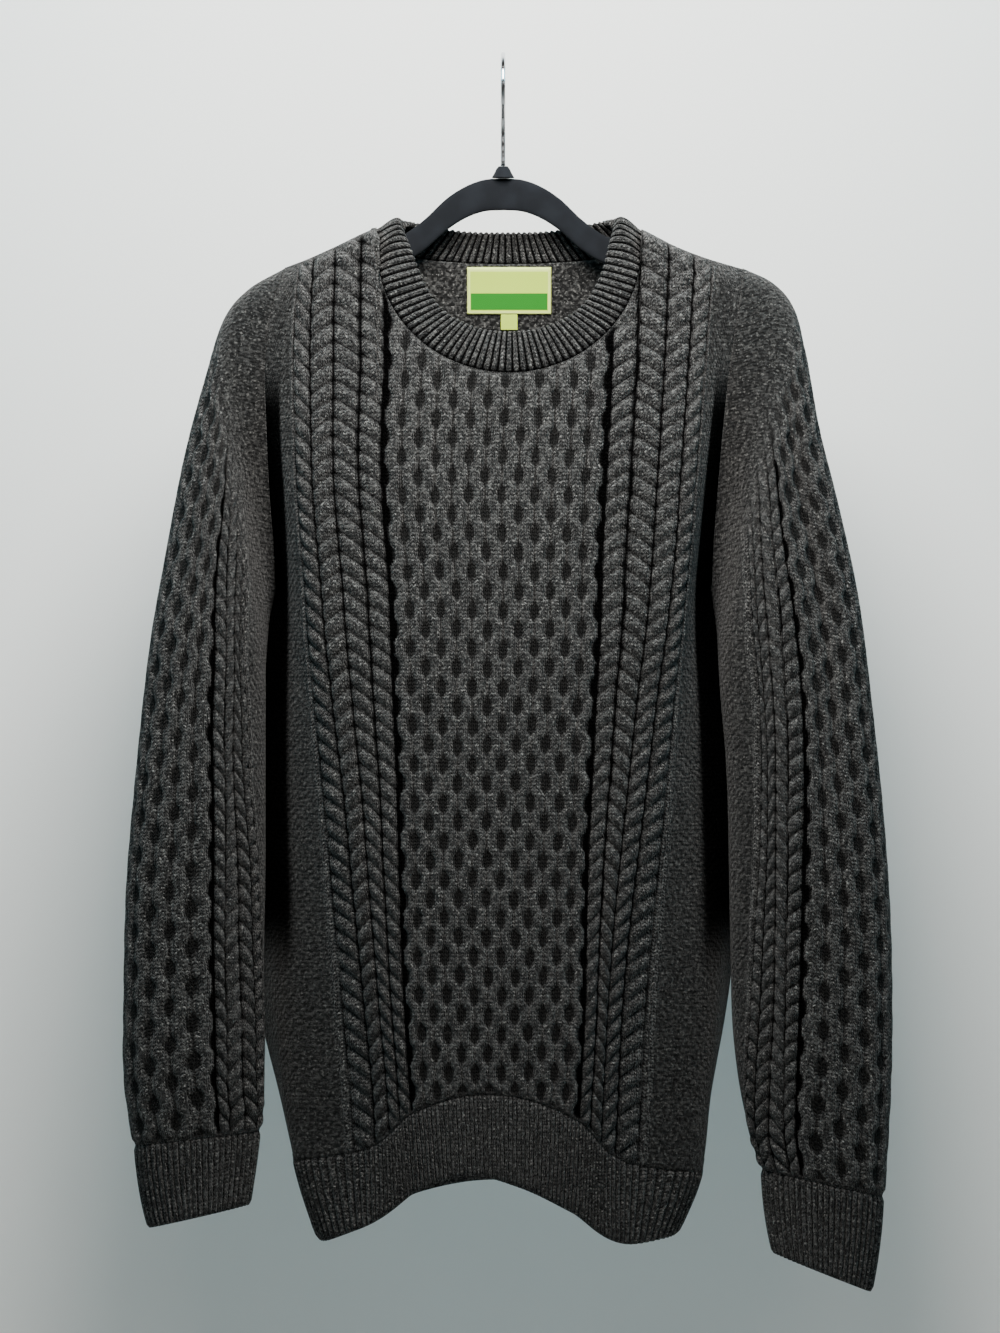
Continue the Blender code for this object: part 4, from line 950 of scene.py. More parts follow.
@dataclass
class ClothNet:
    """A net of cloth, rows going down it and columns going across or round it."""

    skin: np.ndarray        # mean outer skin, by row and column
    across: np.ndarray      # place across the cloth, with one more column if it is wrapped
    down: np.ndarray        # place along the cloth
    relief: np.ndarray      # millimetres above plain cloth
    moss: np.ndarray        # 1 where the cloth is in moss stitch
    sign: int               # 1 where columns crossed with rows point out of the cloth
    wrapped: bool = False
    thickness: float = CLOTH
    closed: np.ndarray | float = 0.0    # 1 where painted shade darkens the cloth, as other cloth lies close to it
    edge: float = 0.0       # how much each face draws in at the last row
    soft: float = 2.0       # how far above the last row it starts to

    def normals(self) -> np.ndarray:
        """Point out of the net.

        Returns:
            Unit vectors by row and column.
        """
        if self.wrapped:
            across = np.roll(self.skin, -1, axis=1) - np.roll(self.skin, 1, axis=1)
        else:
            across = np.gradient(self.skin, axis=1)
        down = np.gradient(self.skin, axis=0)
        return unit(np.cross(across, down) * self.sign)

    def cut(self) -> tuple[float, float, float]:
        """Measure the cloth before it was hung.

        Returns:
            Width and length in metres, and area in square metres.
        """
        skin = closed_columns(self.skin) if self.wrapped else self.skin
        wide = np.linalg.norm(np.diff(skin, axis=1), axis=2)
        long = np.linalg.norm(np.diff(skin, axis=0), axis=2)
        one, two = np.diff(skin, axis=1)[:-1], np.diff(skin, axis=0)[:, :-1]
        area = np.linalg.norm(np.cross(one, two), axis=2).sum() * MM * MM
        width, length = wide.sum(axis=1).max() * MM, long.sum(axis=0).max() * MM
        return width, length, min(area, width * length)

    def build(self, name: str, material: bpy.types.Material) -> bpy.types.Object:
        """Make the closed wall: the relief outside, plain coarse cloth inside, and its rims.

        Args:
            name: The piece's name.
            material: The finish.

        Returns:
            The new object.
        """
        rows, columns = self.skin.shape[:2]
        out = self.normals()
        to_end = np.linalg.norm(self.skin - self.skin[-1:], axis=2)
        draw = self.edge * (1 - np.sqrt(1 - np.clip(1 - to_end / self.soft, 0, 1) ** 2))
        outer = self.skin + out * (self.relief - draw)[..., None]
        keep_rows = np.arange(0, rows, STRIDE)
        keep_columns = np.arange(0, columns, STRIDE)
        keep = np.ix_(keep_rows, keep_columns)
        inner = self.skin[keep] - out[keep] * (self.thickness - draw[keep])[..., None]
        fine = np.arange(rows * columns).reshape(rows, columns)
        coarse = (rows * columns + np.arange(keep_rows.size * keep_columns.size)
                  ).reshape(keep_rows.size, keep_columns.size)
        uv_fine = np.arange(self.across.size).reshape(self.across.shape)
        if self.wrapped:
            fine, coarse = closed_columns(fine), closed_columns(coarse)
        uv_coarse = uv_fine[np.ix_(keep_rows, np.arange(0, uv_fine.shape[1], STRIDE))]
        places = np.stack([self.across, self.down], axis=-1).reshape(-1, 2)

        def shell(net: np.ndarray, plain: np.ndarray) -> tuple[np.ndarray, np.ndarray]:
            """List the quads and triangles of the whole wall, for points or for UV places."""
            flip = self.sign > 0
            quads = [net_quads(net, flip), net_quads(plain, not flip)]
            rims = [rim_triangles(net[0], plain[0], flip), rim_triangles(net[-1], plain[-1], not flip)]
            if not self.wrapped:
                rims.append(rim_triangles(net[:, 0], plain[:, 0], not flip))
                rims.append(rim_triangles(net[:, -1], plain[:, -1], flip))
            return np.concatenate(quads), np.concatenate(rims)

        # The height attribute is painted shade: it darkens low relief such as channels, cells and rib
        # furrows, and the cloth marked closed; the inside gets a fixed painted shade of 0.45.
        height = np.clip((self.relief + FLAT) / 3.0, 0, 1) * (1 - self.closed)
        features = {
            "height": np.concatenate([height.ravel(), np.full(inner[..., 0].size, 0.45)]),
            "moss": np.concatenate([self.moss.ravel(), np.ones(inner[..., 0].size)]),
        }
        points = np.concatenate([outer.reshape(-1, 3), inner.reshape(-1, 3)])
        return make_mesh(name, points, list(shell(fine, coarse)), list(shell(uv_fine, uv_coarse)),
                         places, features, material)


class Knit:
    """A knitted piece that takes the place of one CAD node."""

    node: str

    def net(self) -> ClothNet:
        """Lay out the piece's cloth.

        Returns:
            Its net.
        """
        raise NotImplementedError

    def build(self, material: bpy.types.Material) -> bpy.types.Object:
        """Args:
            material: The wool finish.

        Returns:
            The new object.
        """
        net = self.net()
        piece = net.build(self.node + "_knit", material)
        declare(piece, self.node)
        width, length, area = net.cut()
        LOG.info("%s: cut %.0f x %.0f mm, %.4f square metres", self.node, width / MM, length / MM, area)
        return piece


def declare(piece: bpy.types.Object, node: str) -> None:
    """Attach a piece to the root body and hide the CAD node that it stands for.

    Args:
        piece: The piece.
        node: The CAD node.
    """
    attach(piece, "root")
    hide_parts(node)


def even_steps(count: int, low: float, high: float) -> np.ndarray:
    """Divide a span evenly into a whole number of strides.

    Args:
        count: About how many steps.
        low: Where the span starts.
        high: Where it ends.

    Returns:
        The places, both ends included.
    """
    return np.linspace(low, high, STRIDE * round(count / STRIDE) + 1)


@dataclass
class Panel(Knit):
    """The front or back of the body, from the shoulders and neck to the hem rib."""

    side: Side
    upper_rows: int     # down to LEVEL_FROM
    lower_rows: int

    def __post_init__(self) -> None:
        """Name the CAD node that the panel stands for."""
        self.node = self.side.name.lower() + "_panel"

    def lines(self) -> np.ndarray:
        """Place the columns across the cloth.

        They lie on the bottom of each channel and in the middle of each line of cells, and one
        of them on each corner of the neck.

        Returns:
            Cloth from the centre line.
        """
        numbers = np.concatenate([[0], np.cumsum(PANEL_STEPS)])
        s = np.interp(np.arange(numbers[-1] + 1), numbers, PANEL_KNOTS)
        for corner in NECK_LINES:
            s[np.argmin(np.abs(s - corner))] = corner
        return s

    def drops(self, s: np.ndarray) -> np.ndarray:
        """Place the rows: fine where the cloth turns over the shoulder, then even steps.

        Args:
            s: The columns.

        Returns:
            Drops by row and column.
        """
        hem = HEMS[self.side]
        top, bottom = panel_top(self.side, s), cubic(s, hem["s"], hem["top"])
        turn = (np.arange(RIDGE_ROWS) / RIDGE_ROWS) ** 2 * RIDGE_ROUND
        upper = np.linspace(0, 1, self.upper_rows)[:, None]
        lower = np.linspace(0, 1, self.lower_rows + 1)[1:, None]
        turned = top + RIDGE_ROUND
        return np.concatenate([
            top + turn[:, None],
            turned + (LEVEL_FROM - turned) * upper,
            LEVEL_FROM + (bottom - LEVEL_FROM) * lower,
        ])

    def skin(self, s: np.ndarray, drop: np.ndarray) -> np.ndarray:
        """Place the panel's skin, pulled to the armhole beside it.

        Beyond the edge of the body the pull grows as a square, to 1 at the armhole.

        Args:
            s: Cloth from the centre line.
            drop: Drop of each point.

        Returns:
            Points by row and column.
        """
        points = panel_point(self.side, s, drop)
        angle = np.degrees(np.arccos(np.clip((drop - ARMHOLE_MIDDLE) / ARMHOLE_HALF, -1, 1)))
        angle = angle if self.side is Side.FRONT else 360.0 - angle
        pull = np.clip((np.abs(s) - SIDE_EDGE) / (SIDE_SEAM - SIDE_EDGE), 0, 1) ** 2
        pull = np.where(drop < UNDERARM, pull, 0.0)
        for hand in Hand:
            edge = panel_point(self.side, np.full(s.shape, hand.value * SIDE_SEAM), drop)
            shift = armhole_point(hand, angle) - edge
            shift[..., 2] = 0.0
            own = np.where(np.sign(s) == hand.value, pull, 0.0)
            points = points + shift * own[..., None]
            seam = panel_point(Side.FRONT, np.full(s.shape, hand.value * SIDE_SEAM), drop)
            below = (s == hand.value * SIDE_SEAM) & (drop >= UNDERARM)
            points = np.where(below[..., None], seam, points)
        edge = (np.abs(s) == SIDE_SEAM) | (np.abs(points[..., 1]) < SEAM_GAP / 2)
        points[..., 1] += np.where(edge, self.side.value * SEAM_GAP / 2, 0.0)
        return points

    def net(self) -> ClothNet:
        """Lay out the panel with its stitches, which fade out at the neck and at the hem, and with
        painted shade behind the sleeves.

        Returns:
            The net.
        """
        line = self.lines()
        drop = self.drops(line)
        s = np.broadcast_to(line, drop.shape)
        skin = self.skin(s, drop)
        from_edge = np.minimum(drop - drop[:1], drop[-1:] - drop)
        relief = (BODY_PATTERN.relief(s, drop) - FLAT) * ease(from_edge / STITCH_FADE)
        # Painted shade on the cloth beyond the body's edge, where the sleeves lie against it; the back
        # gets a weaker one.
        beyond = rise(np.abs(s) - SIDE_EDGE, *PAINTED_SHADE_FRINGE)
        behind = rise(drop, *PAINTED_SHADE_FADES_IN) * rise(drop, *PAINTED_SHADE_FADES_OUT)
        return ClothNet(skin, s, -drop, relief, BODY_PATTERN.moss(s), self.side.value,
                        closed=beyond * behind * SIDE_PAINTED_SHADE[self.side])

    def neck(self) -> tuple[np.ndarray, np.ndarray]:
        """Follow the panel's neck edge from left to right.

        Returns:
            Points, and the directions out of the cloth at them.
        """
        net = self.net()
        line = self.lines()
        inside = (line >= NECK_LINES[0]) & (line <= NECK_LINES[1])
        return net.skin[0, inside], net.normals()[0, inside]


@dataclass
class Hem(Knit):
    """The ribbed band below a panel."""

    side: Side
    ribs: int
    rows: int

    def __post_init__(self) -> None:
        """Name the CAD node that the hem stands for."""
        self.node = self.side.name.lower() + "_hem_rib"

    def net(self) -> ClothNet:
        """Lay out the band with a rib for each stride of its columns.

        Returns:
            The net.
        """
        hem = HEMS[self.side]
        line = even_steps(self.ribs * STRIDE, -SIDE_SEAM, SIDE_SEAM)
        part = even_steps(self.rows, 0.0, 1.0)[:, None]
        top = cubic(line, hem["s"], hem["top"]) + SEAM_GAP
        drop = top + (cubic(line, hem["s"], hem["bottom"]) - top) * part
        s = np.broadcast_to(line, drop.shape)
        skin = panel_point(self.side, s, drop)
        seam = panel_point(Side.FRONT, s, drop)
        skin = np.where((np.abs(s) == SIDE_SEAM)[..., None], seam, skin)
        skin[..., 1] += np.where(np.abs(s) == SIDE_SEAM, self.side.value * SEAM_GAP / 2, 0.0)
        rib = rib_profile(np.arange(len(line)) / STRIDE) * rib_growth(drop - drop[:1])
        return ClothNet(skin, s, -drop, rib - RIB_SUNK, np.zeros(drop.shape), self.side.value,
                        edge=RIB_EDGE)


def rib_profile(turns: np.ndarray) -> np.ndarray:
    """Work out the height of ribs: rounded crests between narrow furrows.

    Args:
        turns: Place across the ribs, one for each rib, with a furrow at each whole number.

    Returns:
        Millimetres above the furrows.
    """
    return RIB_HEIGHT * (0.5 - 0.5 * np.cos(2 * np.pi * turns)) ** RIB_ROUND


def rib_growth(down: np.ndarray) -> np.ndarray:
    """Let ribs grow out of the seam above them.

    Args:
        down: Place below the seam.

    Returns:
        Share of their full height.
    """
    return ease(RIB_START + down / RIB_GROWS)


@dataclass
class Sleeve(Knit):
    """A sleeve from its armhole to its cuff."""

    cloth: SleeveCloth
    columns: int
    rows: int

    def __post_init__(self) -> None:
        """Name the CAD node that the sleeve stands for."""
        self.node = self.cloth.hand.name.lower() + "_sleeve"

    def net(self) -> ClothNet:
        """Lay out the sleeve, its stitches measured up from the cuff.

        Returns:
            The net, wrapped round the arm.
        """
        cloth = self.cloth
        count = STRIDE * round(self.columns / STRIDE)
        line = SLEEVE_UNDERARM * (1 - 2 * np.arange(count) / count)
        lines = np.append(line, -SLEEVE_UNDERARM)
        angles = cloth.rung_angles(line)
        spine = cloth.skin(np.full(cloth.ladder.shape, 180.0), cloth.ladder)
        length = way_along(spine)
        ring = np.interp(even_steps(self.rows, 0.0, length[-1]), length, cloth.ladder)
        rung = ring * cloth.STEPS
        low = np.minimum(rung.astype(int), len(cloth.ladder) - 2)
        angle = angles[low] + (angles[low + 1] - angles[low]) * (rung - low)[:, None]
        skin = cloth.skin((angle - SLEEVE_TWIST) % 360.0, ring[:, None])
        steps = np.linalg.norm(np.diff(skin, axis=0), axis=2)
        up = np.concatenate([np.cumsum(steps[::-1], axis=0)[::-1], np.zeros((1, count))])
        q = np.broadcast_to(line, up.shape)
        from_edge = np.minimum(up, up[:1] - up)
        shown = rise(ring[:, None], *SLEEVE_CAP)
        relief = (SLEEVE_PATTERN.relief(q, -up) - FLAT) * ease(from_edge / STITCH_FADE) * shown
        moss = np.maximum(SLEEVE_PATTERN.moss(q), 1 - shown)
        across = np.broadcast_to(lines, (len(ring), count + 1))
        return ClothNet(skin, across, closed_columns(up), relief, moss, -cloth.hand.value,
                        wrapped=True)


@dataclass
class Cuff(Knit):
    """The ribbed end of a sleeve."""

    cloth: SleeveCloth
    rings: dict[str, np.ndarray]
    rows: int

    def __post_init__(self) -> None:
        """Name the CAD node that the cuff stands for."""
        self.node = self.cloth.hand.name.lower() + "_cuff"

    def net(self) -> ClothNet:
        """Lay out the cuff: each column is a parabola from the sleeve's end through two rings.

        Returns:
            The net, wrapped round the wrist.
        """
        dense = np.linspace(0, 360, 721)
        end = self.cloth.skin(dense, np.full(dense.shape, self.cloth.last))
        length = way_along(end)
        count = CUFF_RIBS * STRIDE
        angle = np.interp(np.arange(count) / count * length[-1], length, dense)
        first = self.cloth.skin(angle, np.full(count, self.cloth.last))
        middle = sleeve_ring(self.rings, angle, np.zeros(count))
        last = sleeve_ring(self.rings, angle, np.ones(count))
        first = first + unit(middle - first) * SEAM_GAP
        part = even_steps(self.rows, 0.0, 1.0)[:, None, None]
        at = np.linalg.norm(middle - first, axis=1).mean()
        at = at / (at + np.linalg.norm(last - middle, axis=1).mean())
        skin = (first * (part - at) * (part - 1) / at
                + middle * part * (part - 1) / (at * (at - 1))
                + last * part * (part - at) / (1 - at))
        steps = np.linalg.norm(np.diff(skin, axis=0), axis=2)
        down = np.concatenate([np.zeros((1, count)), np.cumsum(steps, axis=0)])
        rib = rib_profile(np.arange(count) / STRIDE) * rib_growth(down)
        across = np.broadcast_to(np.arange(count + 1) / count * length[-1], (len(part), count + 1))
        return ClothNet(skin, across, -closed_columns(down), rib - RIB_SUNK, np.zeros(down.shape),
                        -self.cloth.hand.value, wrapped=True, edge=RIB_EDGE)


def blurred(loop: np.ndarray, reach: int) -> np.ndarray:
    """Soften a closed line by a weighted mean of its neighbours, a raised cosine wide.

    Args:
        loop: Points or directions in order.
        reach: How many neighbours count on each side.

    Returns:
        The softened line.
    """
    steps = np.arange(-reach, reach + 1)
    weights = 1 + np.cos(np.pi * steps / (reach + 1))
    weights /= weights.sum()
    return sum(np.roll(loop, step, axis=0) * weight for step, weight in zip(steps, weights))


@dataclass
class Neckband:
    """The folded rib round the neck."""

    front: Panel
    back: Panel
    faces: int = 13         # rows up each face of the band
    fold: int = 5           # rows over its folded edge
    furrow: float = 0.6     # how far its furrows lie below the mean skin

    def spread(self, edge: tuple[np.ndarray, np.ndarray], free: dict[str, np.ndarray], count: int
               ) -> tuple[np.ndarray, np.ndarray, np.ndarray]:
        """Divide half of the neck seam evenly.

        Args:
            edge: Points of the seam and directions out of the cloth.
            free: The table of the band's free edge.
            count: How many columns.

        Returns:
            Points of the seam, directions, and points of the free edge.
        """
        points, out = edge
        length = way_along(points)
        part = np.arange(count) / count
        seam = np.stack([np.interp(part * length[-1], length, points[:, k]) for k in range(3)], -1)
        way = np.stack([np.interp(part * length[-1], length, out[:, k]) for k in range(3)], -1)
        place = [cubic(part, free["part"], free[name]) for name in ("x", "y", "drop")]
        return seam, unit(way), np.stack([place[0], place[1], -place[2]], axis=-1)

    def build(self, material: bpy.types.Material) -> bpy.types.Object:
        """Make the band as a closed ring whose section is a folded strip.

        The section runs up the outer face along a parabola, over a half-round fold and down the
        inner face. Ribs swell both faces.

        Args:
            material: The wool finish.

        Returns:
            The new object.
        """
        front_edge, back_edge = self.front.neck(), self.back.neck()
        back_edge = (back_edge[0][::-1], back_edge[1][::-1])
        parts = []
        for edge, free in ((front_edge, NECK_EDGE_FRONT), (back_edge, NECK_EDGE_BACK)):
            ribs = round(way_along(edge[0])[-1] / NECK_RIB)
            parts.append(self.spread(edge, free, NECK_STRIDE * ribs))
        seam, straight, free = (np.concatenate(values) for values in zip(*parts))
        near = ease(1.4 - np.abs(seam[:, 1]) / 24.0)[:, None]
        seam, straight, free = (loop + (blurred(loop, reach) - loop) * near
                                for loop, reach in zip((seam, straight, free), NECK_BLUR))
        straight = unit(straight)
        count = len(seam)
        inward = unit(free - seam)
        inward = unit(inward - straight * np.sum(inward * straight, axis=1, keepdims=True))
        facing = unit(np.cross(free - seam, np.roll(seam, -1, axis=0) - np.roll(seam, 1, axis=0)))
        facing *= np.sign(np.sum(facing * straight, axis=1, keepdims=True))
        side = ease(1.3 - np.abs(seam[:, 1]) / 20.0)
        crown = (NECK_CROWN[0] + (NECK_CROWN[1] - NECK_CROWN[0]) * side)[:, None]
        between = unit(facing + straight)
        first, middle = seam + inward * NECK_CLOSE, (seam + free) / 2 + between * crown
        v = np.linspace(0, 1, self.faces)[:, None, None]
        outer = first * (1 - v) * (1 - 2 * v) + middle * 4 * v * (1 - v) + free * v * (2 * v - 1)
        out = unit(np.where(v < 0.5, straight * (1 - 2 * v) + between * 2 * v,
                            between * (2 - 2 * v) + facing * (2 * v - 1)))
        rib = rib_profile(np.arange(count) / NECK_STRIDE) * ease(0.3 + v[..., 0] * 5)
        centre = outer - out * (CLOTH / 2)
        half = CLOTH / 2 - self.furrow
        along = unit(centre[-1] - centre[-2])
        face = centre + out * (half + rib[..., None])
        behind = centre - out * (half + rib[..., None] * 0.8)
        turn = np.linspace(0, np.pi, self.fold + 2)[1:-1, None, None]
        swell = half + rib[-1:, :, None] * 0.9
        fold = centre[-1:] + (out[-1:] * np.cos(turn) + along * np.sin(turn)) * swell
        section = np.concatenate([face, fold, behind[::-1]])
        rows = len(section)
        net = closed_columns(np.arange(rows * count).reshape(rows, count))
        net = np.concatenate([net, net[:1]])
        lengths = np.linalg.norm(np.diff(section, axis=0), axis=2).mean(axis=1)
        down = np.concatenate([[0.0], np.cumsum(lengths), [lengths.sum() + CLOTH]])
        width = np.linalg.norm(np.diff(np.concatenate([middle, middle[:1]]), axis=0), axis=1)
        across = np.concatenate([[0.0], np.cumsum(width)])
        grid = np.stack(np.meshgrid(across, down), axis=-1).reshape(-1, 2)
        uv_net = np.arange(len(grid)).reshape(rows + 1, count + 1)
        # The height attribute paints shade into the furrows between the ribs.
        features = {
            "height": (np.concatenate([rib, rib[-1:].repeat(self.fold, 0), rib[::-1]])
                       / RIB_HEIGHT) ** 1.6 * 0.8,
            "moss": np.zeros((rows, count)),
        }
        flip = signed_volume(section.reshape(-1, 3), net_quads(net, False)) < 0
        piece = make_mesh("neckband_knit", section.reshape(-1, 3), [net_quads(net, flip)],
                          [net_quads(uv_net, flip)], grid, features, material)
        declare(piece, "neckband")
        return piece


def signed_volume(points: np.ndarray, quads: np.ndarray) -> float:
    """Sum the volume inside a closed shell, which is negative where its faces look inwards.

    Args:
        points: Places of the points.
        quads: Four point numbers for each face.

    Returns:
        The volume, in the cube of the points' unit.
    """
    a, b, c, d = (points[quads[:, k]] for k in range(4))
    halves = np.cross(a, b) * c + np.cross(a, c) * d
    return float(halves.sum()) / 6


@dataclass(frozen=True)
class Patch:
    """A flat woven piece sewn on the inside of the back."""

    node: str
    x: float
    top: float
    width: float
    height: float

    def build(self, material: bpy.types.Material) -> bpy.types.Object:
        """Make the patch along the inside of the back panel.

        Args:
            material: The finish.

        Returns:
            The new object.
        """
        across = even_steps(48, -self.width / 2, self.width / 2)
        down = even_steps(30, 0.0, self.height)
        grid_x, grid_drop = np.meshgrid(self.x + across, self.top + down)
        s = np.zeros(grid_x.shape)
        for _ in range(20):
            s += grid_x - panel_x(s, grid_drop)
        out = panel_normal(Side.BACK, s, grid_drop)
        skin = panel_point(Side.BACK, s, grid_drop) - out * (CLOTH + SEAM_GAP + LABEL_THICKNESS)
        plain = np.zeros(skin.shape[:2])
        net = ClothNet(skin, np.broadcast_to(across, plain.shape), grid_drop - self.top, plain, plain,
                       -1, thickness=LABEL_THICKNESS)
        piece = net.build(self.node + "_woven", material)
        declare(piece, self.node)
        width, length, area = net.cut()
        return piece


def swept(name: str, rings: np.ndarray, tips: tuple[np.ndarray, np.ndarray],
          material: bpy.types.Material) -> bpy.types.Object:
    """Make a solid from rings of points, closed to a point at each end.

    Args:
        name: The object's name.
        rings: Points by ring and place round it.
        tips: The two end points.
        material: The finish.

    Returns:
        The new object.
    """
    count, around = rings.shape[:2]
    net = closed_columns(np.arange(count * around).reshape(count, around))
    first, last = count * around, count * around + 1
    points = np.concatenate([rings.reshape(-1, 3), np.array(tips)])
    quads = net_quads(net, False)
    start = np.stack([np.full(around, first), net[0, :-1], net[0, 1:]], axis=-1)
    end = np.stack([np.full(around, last), net[-1, 1:], net[-1, :-1]], axis=-1)
    if signed_volume(points, quads) < 0:
        quads, start, end = quads[:, ::-1], start[:, ::-1], end[:, ::-1]
    places = np.stack([points[:, 0], points[:, 2]], axis=-1)
    faces = [quads, start, end]
    return make_mesh(name, points, faces, faces, places, {}, material)


@dataclass(frozen=True)
class Hanger:
    """The slim hanger with its hub and its hook."""

    stations: int = 141
    around: int = 28

    def build_body(self, material: bpy.types.Material) -> bpy.types.Object:
        """Make the two arms as one sweep, whose section is a flattened ellipse with full corners.

        Args:
            material: The velvet finish.

        Returns:
            The new object.
        """
        reach = HANGER_ARM["x"][-1]
        x = reach * np.sin(np.linspace(-np.pi / 2, np.pi / 2, self.stations + 2)[1:-1])
        top = cubic(np.abs(x), HANGER_ARM["x"], HANGER_ARM["top"])
        depth = cubic(np.abs(x), HANGER_ARM["x"], HANGER_ARM["depth"])
        in_tip = np.clip((np.abs(x) - (reach - HANGER_TIP)) / HANGER_TIP, 0, 1)
        shrink = np.sqrt(1 - in_tip ** 2)
        turn = np.linspace(0, 2 * np.pi, self.around, endpoint=False)
        up = signed_power(np.cos(turn), HANGER_ROUND)
        side = signed_power(np.sin(turn), HANGER_ROUND)
        middle = top + depth / 2
        z = -middle[:, None] + (depth / 2 * shrink)[:, None] * up
        y = (HANGER_THICKNESS / 2 * shrink)[:, None] * side
        rings = np.stack([np.broadcast_to(x[:, None], z.shape), y, z], axis=-1)
        tip = HANGER_ARM["top"][-1] + HANGER_ARM["depth"][-1] / 2
        tips = (np.array([-reach, 0.0, -tip]), np.array([reach, 0.0, -tip]))
        piece = swept("hanger_velvet", rings, tips, material)
        declare(piece, "hanger")
        return piece

    def build_hub(self, material: bpy.types.Material) -> bpy.types.Object:
        """Turn the small cone where the hook enters the hanger.

        Args:
            material: The velvet finish.

        Returns:
            The new object.
        """
        turn = np.linspace(0, 2 * np.pi, 48, endpoint=False)
        radius = HUB["radius"][:, None]
        drop = np.broadcast_to(HUB["drop"][:, None], (len(radius), len(turn)))
        rings = np.stack([radius * np.cos(turn), radius * np.sin(turn), -drop], axis=-1)
        tips = (np.array([0.0, 0.0, -HUB_TOP]), np.array([0.0, 0.0, -HUB["drop"][-1]]))
        piece = swept("hanger_hub_velvet", rings, tips, material)
        declare(piece, "hanger_hub")
        return piece

    def build_hook(self, material: bpy.types.Material) -> bpy.types.Object:
        """Make the wire hook: an arc over the rail, a smooth bend and a straight stem.

        Args:
            material: The steel finish.

        Returns:
            The new object.
        """
        radius = HOOK_INNER_RADIUS + HOOK_WIRE / 2
        turn = np.radians(np.linspace(*HOOK_ARC, 97))
        arc = np.stack([radius * np.cos(turn), -HOOK_INNER_RADIUS + radius * np.sin(turn)], axis=-1)
        way = np.array([-math.sin(turn[-1]), math.cos(turn[-1])])
        f = np.linspace(0, 1, 33)[1:, None]
        stem, fall = np.array([0.0, -HOOK_STEM_TOP]), np.array([0.0, -HOOK_BEND])
        bend = ((1 + 2 * f) * (1 - f) ** 2 * arc[-1] + f * (1 - f) ** 2 * HOOK_BEND * way
                + f * f * (3 - 2 * f) * stem + f * f * (f - 1) * fall)
        straight = np.array([[0.0, -z] for z in np.linspace(HOOK_STRAIGHT, HUB_TOP - SEAM_GAP, 6)])
        path = np.concatenate([arc, bend, straight])
        tangent = unit(np.gradient(path, axis=0))
        cap = np.linspace(0, 1, 6)[:-1]
        start = path[0] - tangent[0] * (HOOK_WIRE / 2 * (1 - cap))[:, None]
        path = np.concatenate([start, path])
        tangent = np.concatenate([np.repeat(tangent[:1], len(cap), axis=0), tangent])
        size = np.full(len(path), HOOK_WIRE / 2)
        size[:len(cap)] *= np.sqrt(1 - (1 - cap) ** 2) * 0.98 + 0.02
        round_turn = np.linspace(0, 2 * np.pi, 20, endpoint=False)
        wide = size[:, None] * np.cos(round_turn)
        deep = size[:, None] * np.sin(round_turn)
        rings = np.stack([wide, path[:, :1] - tangent[:, 1:] * deep,
                          path[:, 1:] + tangent[:, :1] * deep], axis=-1)
        ends = (np.array([0.0, *path[0]]), np.array([0.0, *path[-1]]))
        piece = swept("hanger_hook_steel", rings, ends, material)
        declare(piece, "hanger_hook")
        return piece


@dataclass
class Graph:
    """Adds and links the nodes of one shader tree."""

    tree: bpy.types.NodeTree

    def node(self, kind: str, inputs: dict[object, object] | None = None, **settings: object
             ) -> bpy.types.Node:
        """Add a node.

        Args:
            kind: The node's type.
            inputs: Values or sockets by input name or number.
            settings: The node's own settings.

        Returns:
            The new node.
        """
        node = self.tree.nodes.new(kind)
        for name, value in settings.items():
            setattr(node, name, value)
        self.feed(node, inputs or {})
        return node

    def feed(self, node: bpy.types.Node, inputs: dict[object, object]) -> None:
        """Set or link a node's inputs.

        Args:
            node: The node.
            inputs: Values or sockets by input name or number.
        """
        for name, value in inputs.items():
            if isinstance(value, bpy.types.NodeSocket):
                self.tree.links.new(value, node.inputs[name])
            else:
                node.inputs[name].default_value = value

    def math(self, operation: str, *values: object) -> bpy.types.NodeSocket:
        """Add a math node.

        Args:
            operation: What it does.
            values: Its inputs, numbers or sockets.

        Returns:
            Its output.
        """
        return self.node("ShaderNodeMath", dict(enumerate(values)), operation=operation).outputs[0]

    def noise(self, vector: bpy.types.NodeSocket, scale: float, detail: float = 2.0
              ) -> bpy.types.NodeSocket:
        """Add a noise.

        Args:
            vector: Where it is read.
            scale: Its features in a metre.
            detail: Its finer layers.

        Returns:
            Its value.
        """
        made = self.node("ShaderNodeTexNoise", {"Vector": vector, "Scale": scale, "Detail": detail})
        return made.outputs[0]

    def ramp(self, value: bpy.types.NodeSocket, low: float, high: float) -> bpy.types.NodeSocket:
        """Stretch a span of a value to 0 and 1.

        Args:
            value: What is read.
            low: What becomes 0.
            high: What becomes 1.

        Returns:
            The stretched value.
        """
        made = self.node("ShaderNodeMapRange", {0: value, 1: low, 2: high},
                         interpolation_type="SMOOTHSTEP")
        return made.outputs[0]

    def mix(self, factor: object, first: object, second: object) -> bpy.types.NodeSocket:
        """Mix two colours.

        Args:
            factor: Share of the second one.
            first: The first colour.
            second: The second colour.

        Returns:
            The mixed colour.
        """
        made = self.node("ShaderNodeMix", {"Factor": factor, 6: first, 7: second},
                         data_type="RGBA")
        return made.outputs[2]


def new_material(name: str) -> tuple[bpy.types.Material, Graph, bpy.types.Node]:
    """Make a material.

    Args:
        name: The material's name.

    Returns:
        The material, its graph and its surface shader.
    """
    material = bpy.data.materials.new(name)
    material.use_nodes = True
    graph = Graph(material.node_tree)
    return material, graph, material.node_tree.nodes["Principled BSDF"]


